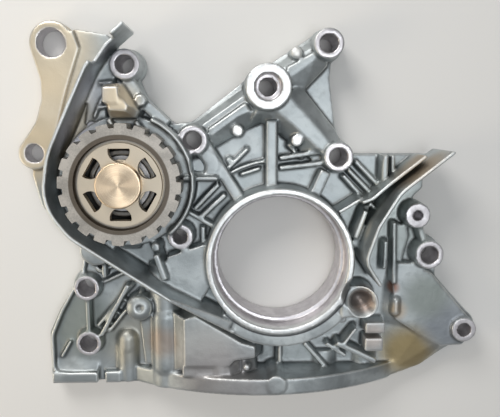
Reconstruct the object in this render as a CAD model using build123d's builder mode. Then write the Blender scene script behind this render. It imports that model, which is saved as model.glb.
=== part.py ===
from build123d import *
import math
import os

# Belt-driven engine oil pump: a die-cast front case that carries a trochoid rotor pair.
#
# Frame: the origin is the centre of the crankshaft bore on the rear mating face.
# +Z points forward, out of the engine. +Y points up the engine and +X to the right
# when the front of the case is looked at. All sizes are in millimetres.

# ---------------------------------------------------------------------------
# Driving dimensions
# ---------------------------------------------------------------------------

# Case levels, measured forward from the rear mating face
FLOOR_TOP = 10.0            # front of the thin casting skin
SKIN = 3.5                  # skin thickness over the rear hollows
RAIL = 6.5                  # width of the gasket rail round the rear face
ARM_TOP = 11.5              # front of the solid side arm
BRACKET_TOP = 15.0          # front of the broad bracket bars
RIB_TOP = 17.5              # crest of the ordinary stiffening ribs
FIN_TOP = 16.0              # crest of the curved fins
CREST_TOP = 19.5            # crest of the main bars between the bolt bosses
RAISED_BASE = 8.0           # inside the skin, where the raised work starts
SHOULDER_TOP = 16.0         # smooth shoulder round the lower right bolt
PLATE_TOP = 14.0            # low plates beside the tower and under the wide bar
RIM_TOP = 13.0              # rim of the lower left ear
PUMP_BLOCK_TOP = 20.0       # casting face behind the pulley
COLLAR_TOP = 29.0           # front of the crankshaft seal collar
GUARD_TOP = 40.0            # front edge of the belt guard wall
SECOND_FIN_TOP = 30.0       # crest of the short fin beside the right hand one
GUARD_NOTCH_FLOOR = 30.0    # floor of the notch near the guard's upper end
GUARD_WALL = 1.9            # thickness of the belt guard wall
THIN_RIB = 2.2              # width of the thin ribs
POST_RIB = 3.2              # width of the posts and of the two round-ended ribs
FIN_WIDTH = 1.4             # width of the curved fins
FIN_CIRCLES = (44.6, 48.1, 51.6)
BAR_FOOT = 17.0             # bracket bars where they meet the skin
BAR_CREST = 7.0             # bracket bars along their top
WIDE_BAR_CREST = 10.0
BLOCK_WALL = 1.5            # wall of the pump block outside the cover
BROAD_RIB = 5.6             # width of the main bars
CAST_DRAFT = 2.0            # draft angle of ribs and bosses, degrees
CAST_ROUND = 1.0            # edge rounding of the cast bosses

# Crankshaft opening
CRANK_SEAL_RADIUS = 35.0
CRANK_LIP_RADIUS = 32.5
CRANK_SEAL_DEPTH = 12.0
COLLAR_RADIUS = 38.3
COLLAR_BAND_OUTER = 45.0    # outside of the band that carries the guard wall on round the collar
COLLAR_BAND_INNER = 39.6
COLLAR_BAND_TOP = 28.0

# Bolt bosses, each (x, y)
BOLT_TOWER = (-77.5, 99.5)
BOLT_INNER = (-44.5, 62.0)
BOLT_TOP = (24.0, 110.0)
BOLT_UPPER = (30.0, 53.5)
BOLT_MIDDLE = (-51.5, 12.5)
BOLT_RIGHT = (79.0, 2.0)
BOLT_CORNER = (101.0, -40.5)
BOLT_LEFT = (-101.5, -15.5)
BOLT_LEFT_LOW = (-101.5, -46.0)
BOLT_HOLE = 9.2             # clearance hole for an M8 bolt
SMALL_BOLT_HOLE = 7.4       # clearance hole for an M6 bolt
BOSS_RADIUS = 7.7
SMALL_BOSS_RADIUS = 6.8
BOSS_TOP = 22.0             # front of the upper bolt bosses
LOW_BOSS_TOP = 18.0         # front of the lower left bolt bosses

# Idler stud boss, threaded stud boss and side arm
IDLER = (-6.5, 88.5)
IDLER_RADIUS = 11.5
IDLER_TOP = 28.0
IDLER_HOLE = 9.0
IDLER_COUNTERBORE = 13.8
IDLER_COUNTERBORE_DEPTH = 5.0
STUD_BOSS = (72.0, 23.0)
STUD_BOSS_RADIUS = 6.2
STUD_TAP = 5.0              # tapping size for an M6 thread
STUD_TAP_DEPTH = 14.0
ARM_EYE = (-116.0, 111.0)
ARM_EYE_RADIUS = 11.2
ARM_EYE_HOLE = 14.4
ARM_FOOT = (-127.2, 55.0)
ARM_FOOT_RADIUS = 8.4
ARM_FOOT_HOLE = 9.4

# Small round marks of the casting: a centre-drill boss, ejector pads and a pad on the flange
DIMPLE_BOSS = (-74.0, -26.2)
EJECTOR_PADS = [(-21.6, 66.8), (8.2, 105.9), (8.7, 61.8)]
EJECTOR_PAD_RADIUS = 3.0
PAN_PAD = (-2.0, -64.0)
PAN_PAD_RADIUS = 5.0
DRIP_RIBS = [((45.2, 26.8), (39.9, 7.1)), ((51.6, 23.0), (46.3, 6.0))]

# Oil pan face and flange along the bottom of the case
PAN_Y = -70.0               # the flat face that the oil pan seals on
PAN_FLANGE = 9.0            # height of the flange above that face
PAN_FRONT = 32.0            # how far forward the middle of the flange reaches
PAN_BOLT_TAP = 5.0
PAN_BOLT_DEPTH = 14.0
PAN_BOLTS = (-82.0, 26.0, 48.0)
COLUMN_TOP = -47.0          # y of the upper end of the column over the left pan bolt
PAN_BOLT_LEVEL = 7.0        # height of the pan bolts above the mating face
PAN_BOLT_COVER = 3.0        # boss length beyond the end of a pan bolt's hole

# Pump axis, rotors and pulley
PUMP = (-79.0, 41.0)
COVER_THICKNESS = 5.0
COVER_SINK = 0.5            # how far the cover lies below the mating face
COVER_LAND = 5.0            # from the driven rotor to the cover's rim
COVER_EAR_RADIUS = 5.6
COVER_EAR_REACH = 1.0       # how far the ears' centres lie outside the rim
COVER_SCREWS = 5
COVER_PHASE = 50.0          # angle of the first cover ear, clear of the bolts and the outlet
COVER_CLEARANCE = 0.15
COVER_PIN_RADIUS = 1.75
COVER_PIN_LAND = 2.4        # from the driven rotor to the dowel pins' centres
COVER_PIN_ANGLES = (86.0, 170.0)
COVER_PIN_REACH = 5.0
COVER_SCREW_HEAD = 9.4
COVER_SCREW_SOCKET = 3.4
COVER_SCREW_TAP = 5.0       # M5 screws, drawn at their nominal size
COVER_SCREW_REACH = 9.0
COVER_SCREW_PLAY = 0.25     # round the shank, and under the head
SOCKET_DEPTH = 2.0
ROTOR_WIDTH = 9.0
ROTOR_SIDE_CLEARANCE = 0.05
LOBES = 6                   # lobes of the driven rotor; the drive rotor has one fewer
LOBE_CIRCLE = 24.0          # radius on which the driven rotor's lobes are centred
LOBE_RADIUS = 7.5
ECCENTRICITY = 2.6
TIP_CLEARANCE = 0.15
DRIVEN_ROTOR_RADIUS = 27.0
ROTOR_RUNNING_CLEARANCE = 0.08
ROTOR_POINTS_PER_LOBE = 12
PORT_DEPTH = 2.5
PORT_LAND = 1.5             # how far the ports stay inside the lobe circle

SHAFT_RADIUS = 8.0
SHAFT_HEAD_RADIUS = 11.0
SHAFT_HEAD_TOP = 42.0
KEY_WIDTH = 4.0
KEY_RISE = 1.6              # how far a key stands out of the shaft
BUSH_WALL = 1.5
BUSH_CLEARANCE = 0.04
TOWER_TOP = 32.0            # front of the block above the pulley
TOWER_STEP = 27.0           # front of the lower part of that block
TOWER_HEAD_WIDTH = 8.2
TOWER_BEND = (-70.3, 82.0)  # where the bar from the tower bolt turns
LOW_WALL_TOP = 26.0         # crest of the low wall beside the pulley
SEAL_BOSS_WALL = 3.0        # wall of the boss round the oil seal
SEAL_BOSS_TOP = 28.5
SEAL_SPACE = 6.0            # from the shaft to the outside of the seal case
SEAL_SINK = 0.3             # how far the seal case lies below its boss
SEAL_LIP_WIDTH = 2.4
SEAL_DEPTH = 6.0
SEAL_CASE_WALL = 1.0
SEAL_SPRING_RADIUS = 0.7
PULLEY_TEETH = 20
BELT_PITCH = 9.525
PULLEY_TIP_DROP = 0.6       # tooth tip below the belt's pitch line
TOOTH_DEPTH = 2.3
PULLEY_BACK = 21.5
PULLEY_FRONT = 38.0
PULLEY_GROOVE_RADIUS = 22.2
PULLEY_WEB_BACK = 31.5
PULLEY_WEB_FRONT = 36.5
PULLEY_DISC_RADIUS = 20.4
PULLEY_GROOVE_FLOOR = 33.5
PULLEY_HUB_BACK = 29.5
PULLEY_HUB_RADIUS = 12.0
PULLEY_RIM_INNER = 24.0
PULLEY_PHASE = 6.0          # angle of the first tooth gap
GAP_MOUTH = 4.2
GAP_ROOT = 2.6
WINDOWS = 6
WINDOW_PHASE = 30.0
WINDOW_MIDDLE = 16.4        # radius of the centre of a window's round end
WINDOW_RADIUS = 5.3
WINDOW_FLAT = 17.6          # radius of a window's flat outer edge

# Relief valve, across the lower left of the case
RELIEF_X = -60.5
RELIEF_Z = 13.5
RELIEF_BORE = 10.0
RELIEF_BORE_TOP = -6.0      # y of the valve's upper end
RELIEF_BARREL_RADIUS = 8.4
RELIEF_FEED = 5.0
PISTON_LENGTH = 15.0
PISTON_CLEARANCE = 0.04
PISTON_WALL = 1.5
PISTON_CROWN = 4.0
SPILL_WIDTH = 4.0
SPILL_START = 4.5           # from the valve's upper end to the middle of the spill slot
SPRING_RADIUS = 3.2
SPRING_WIRE = 1.0
RETAINER_LENGTH = 6.0
RETAINER_DEPTH = 3.0        # from the pan face to the retainer
RETAINER_HOLE = 4.0
RING_THICKNESS = 1.0
RING_GROOVE = 0.9
RING_WIDTH = 1.2
RING_GAP = 3.0
RING_PLAY = 0.05            # round the outlet's sealing ring in its groove
RING_SIDES = 8              # sides of the section of the two round rings

# Oil ways that open on the rear face and on the pan face
OUTLET_ANGLE = 11.96        # direction of the outlet from the pump axis
OUTLET_GAP = 2.1            # from the cover's rim to the outlet's sealing ring
OUTLET_HOLE = 9.0
OUTLET_LAND = 10.5
OUTLET_PAD = 7.0            # raised pad that closes the outlet in front
OUTLET_RING_RADIUS = 6.3
OUTLET_RING_SECTION = 1.1
INLET_X = -31.0
INLET_Z = 16.0
INLET_HOLE = 17.0
INLET_LENGTH = 34.0
INLET_NECK = 20.0           # length of the round neck that closes the inlet from the pan face up to the hump
INLET_BOLT_SPACING = 32.0
HUMP_TOP = 28.0             # front of the smooth hump over the inlet
SUCTION_WIDTH = 10.0
SUCTION_DEPTH = 6.0

os.makedirs("parts", exist_ok=True)

pitch_radius = PULLEY_TEETH * BELT_PITCH / (2 * math.pi)
tip_radius = pitch_radius - PULLEY_TIP_DROP
rotor_back = COVER_SINK + COVER_THICKNESS
rotor_front = rotor_back + ROTOR_WIDTH + 2 * ROTOR_SIDE_CLEARANCE
port_top = rotor_front + PORT_DEPTH
seal_seat = SEAL_BOSS_TOP - SEAL_DEPTH
seal_outer = SHAFT_RADIUS + SEAL_SPACE
seal_boss = seal_outer + SEAL_BOSS_WALL
cover_radius = DRIVEN_ROTOR_RADIUS + COVER_LAND
cover_ear_circle = cover_radius + COVER_EAR_REACH
cover_pin_circle = DRIVEN_ROTOR_RADIUS + COVER_PIN_LAND
pocket_centre = (PUMP[0], PUMP[1] - ECCENTRICITY)
skin_plane = Plane.XY.offset(RAISED_BASE)


def polar(centre, radius, degrees):
    """A point at a radius and angle from a centre."""
    turn = math.radians(degrees)
    return (centre[0] + radius * math.cos(turn), centre[1] + radius * math.sin(turn))


outlet = polar(PUMP, cover_radius + OUTLET_GAP + OUTLET_RING_RADIUS + OUTLET_RING_SECTION, OUTLET_ANGLE)
inlet_end = (INLET_X, PAN_Y + INLET_LENGTH - INLET_HOLE / 2)
suction_end = polar(PUMP, cover_ear_circle + SUCTION_WIDTH / 2 + 1, 245)
cover_ears = [polar(PUMP, cover_ear_circle, COVER_PHASE + 360 * number / COVER_SCREWS)
              for number in range(COVER_SCREWS)]
cover_pins = [polar(PUMP, cover_pin_circle, angle) for angle in COVER_PIN_ANGLES]


def along(start, end, share):
    """The point that lies a share of the way from start to end."""
    return (start[0] + (end[0] - start[0]) * share, start[1] + (end[1] - start[1]) * share)


def bar(start, end, width):
    """Adds a straight bar with square ends to the open sketch."""
    length = math.dist(start, end)
    turn = math.degrees(math.atan2(end[1] - start[1], end[0] - start[0]))
    with Locations(Location((*along(start, end, 0.5), 0), (0, 0, turn))):
        Rectangle(length, width)


def disc(centre, radius, mode=Mode.ADD):
    """Adds a round disc to the open sketch."""
    with Locations(centre):
        Circle(radius, mode=mode)


def export(builder, name):
    """Labels a finished piece and writes its STEP file."""
    builder.part.label = name
    export_step(builder.part, f"parts/{name}.step")


# ---------------------------------------------------------------------------
# Case outline
# ---------------------------------------------------------------------------

CASE_OUTLINE = [
    (-104, 118), (-88, 115.5), (-72.5, 93), (-67.5, 81.5), (-57, 70), (-45, 71.5),      # tower
    (-16, 94), (16.5, 114.5), (31, 108), (27, 101.5), (26.5, 93), (29.5, 70), (33, 59),  # bracket
    (39.5, 54.5), (78.2, 54.5), (77.5, 36), (70.5, 29.5), (77, 14), (86, 4),             # right wing
    (86.5, -12), (109, -37), (107.5, -46), (100, -50), (90, -56), (80, -63.5), (62, PAN_Y),  # corner
    (-122, PAN_Y), (-124, -66), (-124, -42), (-118, -29), (-109, -15), (-104, -6),       # pan ear
    (-103.5, 3), (-112, 14), (-125, 26.5), (-129.4, 44), (-125, 55), (-112, 78),         # belt side
]
ARM_OUTLINE = [(-126.8, 108), (-122.3, 92), (-122.3, 83), (-126, 71), (-134.5, 59),
               (-121, 50), (-115, 68), (-109.5, 87), (-102, 108.5), (-105, 117.5)]


def case_plan():
    """The outline of the whole case, with a round lobe at each bolt."""
    with BuildSketch() as plan:
        with BuildLine():
            Polyline(*CASE_OUTLINE, close=True)
        make_face()
        for centre in [BOLT_TOWER, BOLT_INNER, BOLT_TOP, BOLT_UPPER, BOLT_RIGHT, BOLT_CORNER,
                       BOLT_LEFT, BOLT_LEFT_LOW]:
            disc(centre, BOSS_RADIUS + CAST_ROUND)
        disc(IDLER, IDLER_RADIUS)
        disc(STUD_BOSS, STUD_BOSS_RADIUS + CAST_ROUND)
    return plan.sketch


def arm_plan():
    """The flat side arm with its two eyes."""
    with BuildSketch() as plan:
        with BuildLine():
            Polyline(*ARM_OUTLINE, close=True)
        make_face()
        disc(ARM_EYE, ARM_EYE_RADIUS)
        disc(ARM_FOOT, ARM_FOOT_RADIUS)
    return plan.sketch


def solid_zones():
    """Where the case stays thick behind: bolt seats, seal collar, pump and oil ways."""
    with BuildSketch() as zones:
        for centre in [BOLT_TOWER, BOLT_INNER, BOLT_TOP, BOLT_UPPER, BOLT_MIDDLE, BOLT_RIGHT,
                       BOLT_CORNER, BOLT_LEFT, BOLT_LEFT_LOW, STUD_BOSS]:
            disc(centre, BOSS_RADIUS + 1.5)
        disc(IDLER, IDLER_RADIUS)
        disc((0, 0), CRANK_LIP_RADIUS + RAIL)
        disc(PUMP, cover_ear_circle + COVER_EAR_RADIUS + 2)
        disc(outlet, OUTLET_LAND)
        bar((RELIEF_X, PAN_Y), (RELIEF_X, PUMP[1]), 2 * RELIEF_BARREL_RADIUS)
        bar((INLET_X, PAN_Y), (INLET_X, PAN_Y + INLET_LENGTH), INLET_BOLT_SPACING + 2 * PAN_BOLT_TAP)
        bar(inlet_end, suction_end, SUCTION_WIDTH + 2 * RAIL)
        for x in PAN_BOLTS:
            bar((x, PAN_Y), (x, PAN_Y + PAN_BOLT_DEPTH + SKIN), 2 * SMALL_BOSS_RADIUS)
        for start, end in [(IDLER, (0, 30)), (IDLER, BOLT_UPPER), (IDLER, BOLT_INNER),
                           (IDLER, BOLT_TOP), (BOLT_RIGHT, (30, 0)), (BOLT_MIDDLE, (-30, 0)),
                           (BOLT_CORNER, (20, -25)), (PUMP, BOLT_TOWER), ((0, PAN_Y), (0, -30))]:
            bar(start, end, BROAD_RIB)
    return zones.sketch


def rear_hollows():
    """The hollows between the gasket rail and the thick zones, open to the rear."""
    with BuildSketch() as hollows:
        with BuildLine():
            Polyline(*CASE_OUTLINE, close=True)
            offset(amount=-RAIL, kind=Kind.INTERSECTION, mode=Mode.REPLACE)
        make_face()
        add(arm_plan(), mode=Mode.SUBTRACT)
        add(solid_zones(), mode=Mode.SUBTRACT)
    return hollows.sketch


# ---------------------------------------------------------------------------
# Raised work on the front of the case
# ---------------------------------------------------------------------------

def ridge(start, end, foot, crest, top):
    """Adds a bar with sloped flanks, wide at its foot and narrow at its crest, to the open part."""
    run = (end[0] - start[0], end[1] - start[1], 0)
    with BuildSketch(Plane((*start, RAISED_BASE), x_dir=(-run[1], run[0], 0), z_dir=run)) as section:
        with BuildLine():
            rise = top - RAISED_BASE
            Polyline((-foot / 2, 0), (foot / 2, 0), (crest / 2, rise), (-crest / 2, rise), close=True)
        make_face()
    extrude(section.sketch, amount=math.dist(start, end))


def plate_plan():
    """Low plates: under the wide bar, beside the tower and beside the long rib on the right."""
    with BuildSketch(skin_plane) as plan:
        for corners in [[(-5.7, 69.7), (21, 48.6), (32.4, 61.8), (10.9, 88)],
                        [(-90, 104), (-84, 104), (-84, 92), (-89, 90), (-89, 70), (-100, 70), (-97, 90)],
                        [(61, 19), (69, 16), (70, 10.7), (66.5, -3.5), (63, -13.5), (60, -13.5)],
                        [(-94.5, PAN_Y), (-86, PAN_Y), (-86, -63.5), (-94.5, -63.5)],
                        [(-123, PAN_Y), (-98, PAN_Y), (-98, -64), (-123, -64)]]:
            with BuildLine():
                Polyline(*corners, close=True)
            make_face()
    return plan.sketch


def crest_plan():
    """The main bars, narrower and higher than the bracket."""
    with BuildSketch(skin_plane) as plan:
        bar((2.5, 83), (24.5, 56), BROAD_RIB)
        bar((-4.3, 72), (-4.3, 38), BROAD_RIB)
        bar((-38.5, 60), (-21.5, 32.5), BROAD_RIB)
        bar((24, 46), (18, 33), BROAD_RIB)
        bar((-77, 92.5), TOWER_BEND, BROAD_RIB)
        bar(TOWER_BEND, (-57.5, 70), BROAD_RIB)
        disc(TOWER_BEND, BROAD_RIB / 2)
        bar(along(STUD_BOSS, BOLT_RIGHT, 0.2), along(STUD_BOSS, BOLT_RIGHT, 0.7), POST_RIB)
        bar((54.1, 52), (54.1, 40), POST_RIB)
        for start, end in DRIP_RIBS:
            bar(start, end, POST_RIB)
            disc(start, POST_RIB / 2)
            disc(end, POST_RIB / 2)
    return plan.sketch


def thin_rib_plan():
    """The thin ribs that stiffen the floor between the main bars."""
    with BuildSketch(skin_plane) as plan:
        bar((-17.5, 79.8), (-36.5, 66.5), THIN_RIB)
        bar((3.5, 97.5), (17.5, 105.3), THIN_RIB)
        bar((-50.5, 42.4), (-30, 42.4), THIN_RIB)
        bar((-48.4, 41), (-49.6, 28), THIN_RIB)
        bar((-55, 29.3), (-34.5, 17), THIN_RIB)
        bar((-31.5, 39.5), (-44.5, 26), THIN_RIB)
        bar((-28, 34), (-41.5, 21.5), THIN_RIB)
        bar((-52, 5), (-41.5, 5), THIN_RIB)
        bar((-40, 17), (-40, 4), THIN_RIB)
        bar((0, 52.5), (24, 56.5), THIN_RIB)
        bar((0, 47.5), (22, 50), THIN_RIB)
        bar((61, 19), (62, -14.5), THIN_RIB)
        bar((59.2, 54.3), (59.4, 41.5), THIN_RIB)
        bar((32.9, 44), (44.2, 31.9), THIN_RIB)
        bar((36, 46.6), (48.4, 34), THIN_RIB)
        bar((39.5, 51.2), (51.9, 38.7), THIN_RIB)
        bar((-101.5, -9), (-101.5, -40), THIN_RIB)
        bar((-95, -42), (-80, -14), THIN_RIB)
        bar((-92, 2), (-92, -10), THIN_RIB)
        bar((-71.5, -32), (-69, -58), BROAD_RIB)
        bar((0, -44), (0, -62), THIN_RIB)
        bar((14, -47), (26, -61), THIN_RIB)
        bar((41, -39), (31, -51.5), THIN_RIB)
        bar((26, -47.5), (37, -55), THIN_RIB)
    return plan.sketch


def fin_plan():
    """Curved fins, concentric with the crankshaft, above the seal collar."""
    with BuildSketch(skin_plane) as plan:
        for radius in FIN_CIRCLES:
            Circle(radius + FIN_WIDTH / 2)
            Circle(radius - FIN_WIDTH / 2, mode=Mode.SUBTRACT)
        with BuildLine():
            Polyline((0, 0), polar((0, 0), 70, 94), polar((0, 0), 70, 125), close=True)
        make_face(mode=Mode.INTERSECT)
    return plan.sketch


def bosses(centres, radius, base, top):
    """Adds drafted round bosses of one size to the open part."""
    with BuildSketch(Plane.XY.offset(top)) as faces:
        for centre in centres:
            disc(centre, radius)
    extrude(faces.sketch, amount=base - top, taper=-CAST_DRAFT)


def drill(centres, diameter, start, end):
    """Adds round cutters of one size, between two levels, to the open part."""
    with BuildSketch(Plane.XY.offset(start)) as faces:
        for centre in centres:
            disc(centre, diameter / 2)
    extrude(faces.sketch, amount=end - start)


def drill_up(places, diameter, start, depth):
    """Adds round cutters that run up the case from a level face, each at (x, z)."""
    with BuildSketch(Plane.XZ.offset(-start)) as faces:
        for place in places:
            disc(place, diameter / 2)
    extrude(faces.sketch, amount=-depth)


GUARD_PATH = [(-74.5, 117), (-84.8, 108.2), (-93.5, 96), (-112.5, 55.5), (-116, 32), (-103.5, 15.5),
              (-24, -37)]
GUARD_BENDS = [9, 14, 40, 26, 22]
GUARD_NOTCH = [(-81.5, 112), (-92, 100.5)]
VALVE_COVER = [(-58.5, 2), (-50, 5), (-37.5, 9), (-36, -14), (-41, -22), (-62, -12)]
FIN_PATH = [(83.5, 57), (58, 37), (47.5, 20), (41.5, 2.5), (49.5, -10)]
FIN_BENDS = [20, 14, 9]
SECOND_FIN_PATH = [(73, 54.5), (54.5, 40), (46.6, 33), (41, 30.8)]
SECOND_FIN_BENDS = [12, 5]
EAR_RIM_PATH = [(-102.5, 3), (-104.3, -8), (-116.5, -29.5), (-122.3, -43), (-122.3, -64), (-104, -66)]
EAR_RIM_BENDS = [6, 20, 12, 4]
GUARD_SLOPE_X = (-56, -26)
GUARD_SLOPE_Y = (-55, -12)
SNOUT = (43.0, -21.5)
SNOUT_RADIUS = 8.0
SNOUT_TOP = 30.0


def wall_plan(points, bends):
    """A thin wall that follows straight runs with round bends."""
    with BuildSketch(skin_plane) as plan:
        with BuildLine() as path:
            FilletPolyline(*points, radius=bends)
        trace(path.line, line_width=GUARD_WALL)
    return plan.sketch


def port_plan(first, last):
    """A kidney port between two angles round the driven rotor's centre."""
    with BuildSketch() as plan:
        disc(pocket_centre, LOBE_CIRCLE - PORT_LAND)
        disc(pocket_centre, LOBE_CIRCLE - LOBE_RADIUS - PORT_LAND, mode=Mode.SUBTRACT)
        middle = (first + last) / 2
        corners = [polar(pocket_centre, 2 * LOBE_CIRCLE, angle) for angle in (first, middle, last)]
        with BuildLine():
            Polyline(pocket_centre, *corners, close=True)
        make_face(mode=Mode.INTERSECT)
    return plan.sketch


with BuildPart() as front_work:
    # bracket, bars and ribs
    ridge(BOLT_INNER, IDLER, BAR_FOOT, BAR_CREST, BRACKET_TOP)
    ridge(BOLT_TOP, IDLER, BAR_FOOT, BAR_CREST, BRACKET_TOP)
    ridge(IDLER, BOLT_UPPER, BAR_FOOT, WIDE_BAR_CREST, BRACKET_TOP + 1)
    extrude(plate_plan(), amount=PLATE_TOP - RAISED_BASE)
    extrude(crest_plan(), amount=CREST_TOP - RAISED_BASE)
    extrude(thin_rib_plan(), amount=RIB_TOP - RAISED_BASE)
    extrude(fin_plan(), amount=FIN_TOP - RAISED_BASE)

    # raised covers over the outlet and over the upper end of the suction channel
    with BuildSketch(skin_plane) as oil_covers:
        bar(PUMP, outlet, 2 * OUTLET_PAD)
        disc(outlet, OUTLET_PAD)
        bar(PUMP, suction_end, SUCTION_WIDTH + 2 * SKIN)
        disc(suction_end, SUCTION_WIDTH / 2 + SKIN)
    extrude(oil_covers.sketch, amount=PUMP_BLOCK_TOP - RAISED_BASE)

    # smooth raised face between the relief valve and the seal collar
    with BuildSketch(skin_plane) as valve_cover:
        with BuildLine():
            Polyline(*VALVE_COVER, close=True)
        make_face()
    extrude(valve_cover.sketch, amount=BOSS_TOP - RAISED_BASE)

    # drafted bolt bosses
    bosses([BOLT_TOWER, BOLT_INNER, BOLT_TOP, BOLT_UPPER, BOLT_RIGHT], BOSS_RADIUS, RAISED_BASE, BOSS_TOP)
    bosses([BOLT_LEFT, BOLT_LEFT_LOW, BOLT_CORNER], SMALL_BOSS_RADIUS, RAISED_BASE, LOW_BOSS_TOP)
    bosses([BOLT_MIDDLE, STUD_BOSS, DIMPLE_BOSS], SMALL_BOSS_RADIUS, RAISED_BASE, BOSS_TOP)
    bosses(EJECTOR_PADS, EJECTOR_PAD_RADIUS, RAISED_BASE, RIB_TOP)
    bosses([TOWER_BEND], EJECTOR_PAD_RADIUS, RAISED_BASE, BOSS_TOP)
    bosses([IDLER], IDLER_RADIUS, RAISED_BASE, IDLER_TOP)

    # seal collar round the crankshaft opening, and the round snout beside it
    bosses([(0, 0)], COLLAR_RADIUS, RAISED_BASE, COLLAR_TOP)
    bosses([SNOUT], SNOUT_RADIUS, RAISED_BASE, SNOUT_TOP)
    with BuildSketch(skin_plane) as snout_foot:
        bar(polar((0, 0), CRANK_SEAL_RADIUS + SKIN, -34), SNOUT, 2 * SNOUT_RADIUS)
    extrude(snout_foot.sketch, amount=COLLAR_TOP - RAISED_BASE)

    # band that carries the guard wall on round the lower side of the collar
    with BuildSketch(skin_plane) as collar_band:
        Circle(COLLAR_BAND_OUTER)
        Circle(COLLAR_BAND_INNER, mode=Mode.SUBTRACT)
        with BuildLine():
            Polyline((0, 0), polar((0, 0), 70, -124), polar((0, 0), 70, -42), close=True)
        make_face(mode=Mode.INTERSECT)
    extrude(collar_band.sketch, amount=COLLAR_BAND_TOP - RAISED_BASE)

    # belt guard wall and the right hand fin
    extrude(wall_plan(GUARD_PATH, GUARD_BENDS), amount=GUARD_TOP - RAISED_BASE)
    extrude(wall_plan(FIN_PATH, FIN_BENDS), amount=GUARD_TOP - RAISED_BASE)
    extrude(wall_plan(SECOND_FIN_PATH, SECOND_FIN_BENDS), amount=SECOND_FIN_TOP - RAISED_BASE)
    extrude(wall_plan(EAR_RIM_PATH, EAR_RIM_BENDS), amount=RIM_TOP - RAISED_BASE)

    # block behind the pulley, the tower above it and the low wall beside it
    bosses([PUMP], cover_radius + BLOCK_WALL, RAISED_BASE, PUMP_BLOCK_TOP)
    bosses([PUMP], seal_boss, PUMP_BLOCK_TOP - 1, SEAL_BOSS_TOP)
    with BuildSketch(skin_plane) as tower:
        with BuildLine():
            Polyline((-88, 89), (-79, 90), (-70.5, 76), (-72, 73.5), (-84.5, 73.5), close=True)
        make_face()
    extrude(tower.sketch, amount=TOWER_STEP - RAISED_BASE)
    with BuildSketch(skin_plane) as tower_head:
        bar((-83.3, 80.3), (-83.3, 88.5), TOWER_HEAD_WIDTH)
    extrude(tower_head.sketch, amount=TOWER_TOP - RAISED_BASE)
    with BuildSketch(skin_plane) as low_wall:
        with Locations(PUMP):
            Circle(cover_radius + BLOCK_WALL + GUARD_WALL)
            Circle(cover_radius + BLOCK_WALL, mode=Mode.SUBTRACT)
        with BuildLine():
            Polyline(PUMP, polar(PUMP, 60, -50), polar(PUMP, 80, 10), polar(PUMP, 60, 66), close=True)
        make_face(mode=Mode.INTERSECT)
    extrude(low_wall.sketch, amount=LOW_WALL_TOP - RAISED_BASE)

    # raised shoulder on the lower right and the two blocks beside it
    with BuildSketch(skin_plane) as shoulder:
        with BuildLine():
            Polyline((64, -3.5), (72, -3.5), (83, -9.5), (104.5, -34.5), (106.5, -43), (101, -50),
                     (89, -50.5), (76.7, -43.5), (63.5, -35), (61.5, -16), close=True)
        make_face()
    extrude(shoulder.sketch, amount=SHOULDER_TOP - RAISED_BASE)
    with BuildSketch(skin_plane) as blocks:
        bar((46, -37.5), (57, -37.5), 6.5)
        bar((46, -47), (56, -47), 7.5)
    extrude(blocks.sketch, amount=BOSS_TOP - RAISED_BASE)


with BuildPart() as pan_work:
    # oil pan flange with a curved front edge
    with BuildSketch(Plane.XZ.offset(-PAN_Y)):
        with BuildLine():
            Polyline((-84, 8), (-124, 8), (-124, 0), (62, 0), (62, 12))
            ThreePointArc((-84, 8), (-20, PAN_FRONT), (62, 12))
        make_face()
    extrude(amount=-PAN_FLANGE)
    # bolt bosses, relief valve barrel, inlet neck and suction hump that stand on it
    drill_up([(x, PAN_BOLT_LEVEL) for x in PAN_BOLTS], 2 * SMALL_BOSS_RADIUS, PAN_Y,
             PAN_BOLT_DEPTH + PAN_BOLT_COVER)
    drill_up([(PAN_BOLTS[0], PAN_BOLT_LEVEL)], 2 * SMALL_BOSS_RADIUS, PAN_Y, COLUMN_TOP - PAN_Y)
    drill_up([(RELIEF_X, RELIEF_Z)], 2 * RELIEF_BARREL_RADIUS, PAN_Y, RELIEF_BORE_TOP + SKIN - PAN_Y)
    drill_up([(INLET_X, INLET_Z)], INLET_HOLE + 2 * SKIN, PAN_Y, INLET_NECK)
    with BuildSketch(Plane.XY.offset(HUMP_TOP)) as suction_hump:
        with BuildLine():
            Polyline((-50, -30), (-44, -28), (-20, -43), (-13, -45), (-13, -51), (-24, -52.5),
                     (-26.5, -55.5), (-50, -55.5), close=True)
        make_face()
    extrude(suction_hump.sketch, amount=-(HUMP_TOP - RAISED_BASE), taper=-14)
    bosses([PAN_PAD], PAN_PAD_RADIUS, RAISED_BASE, PAN_FRONT + 1)


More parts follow.
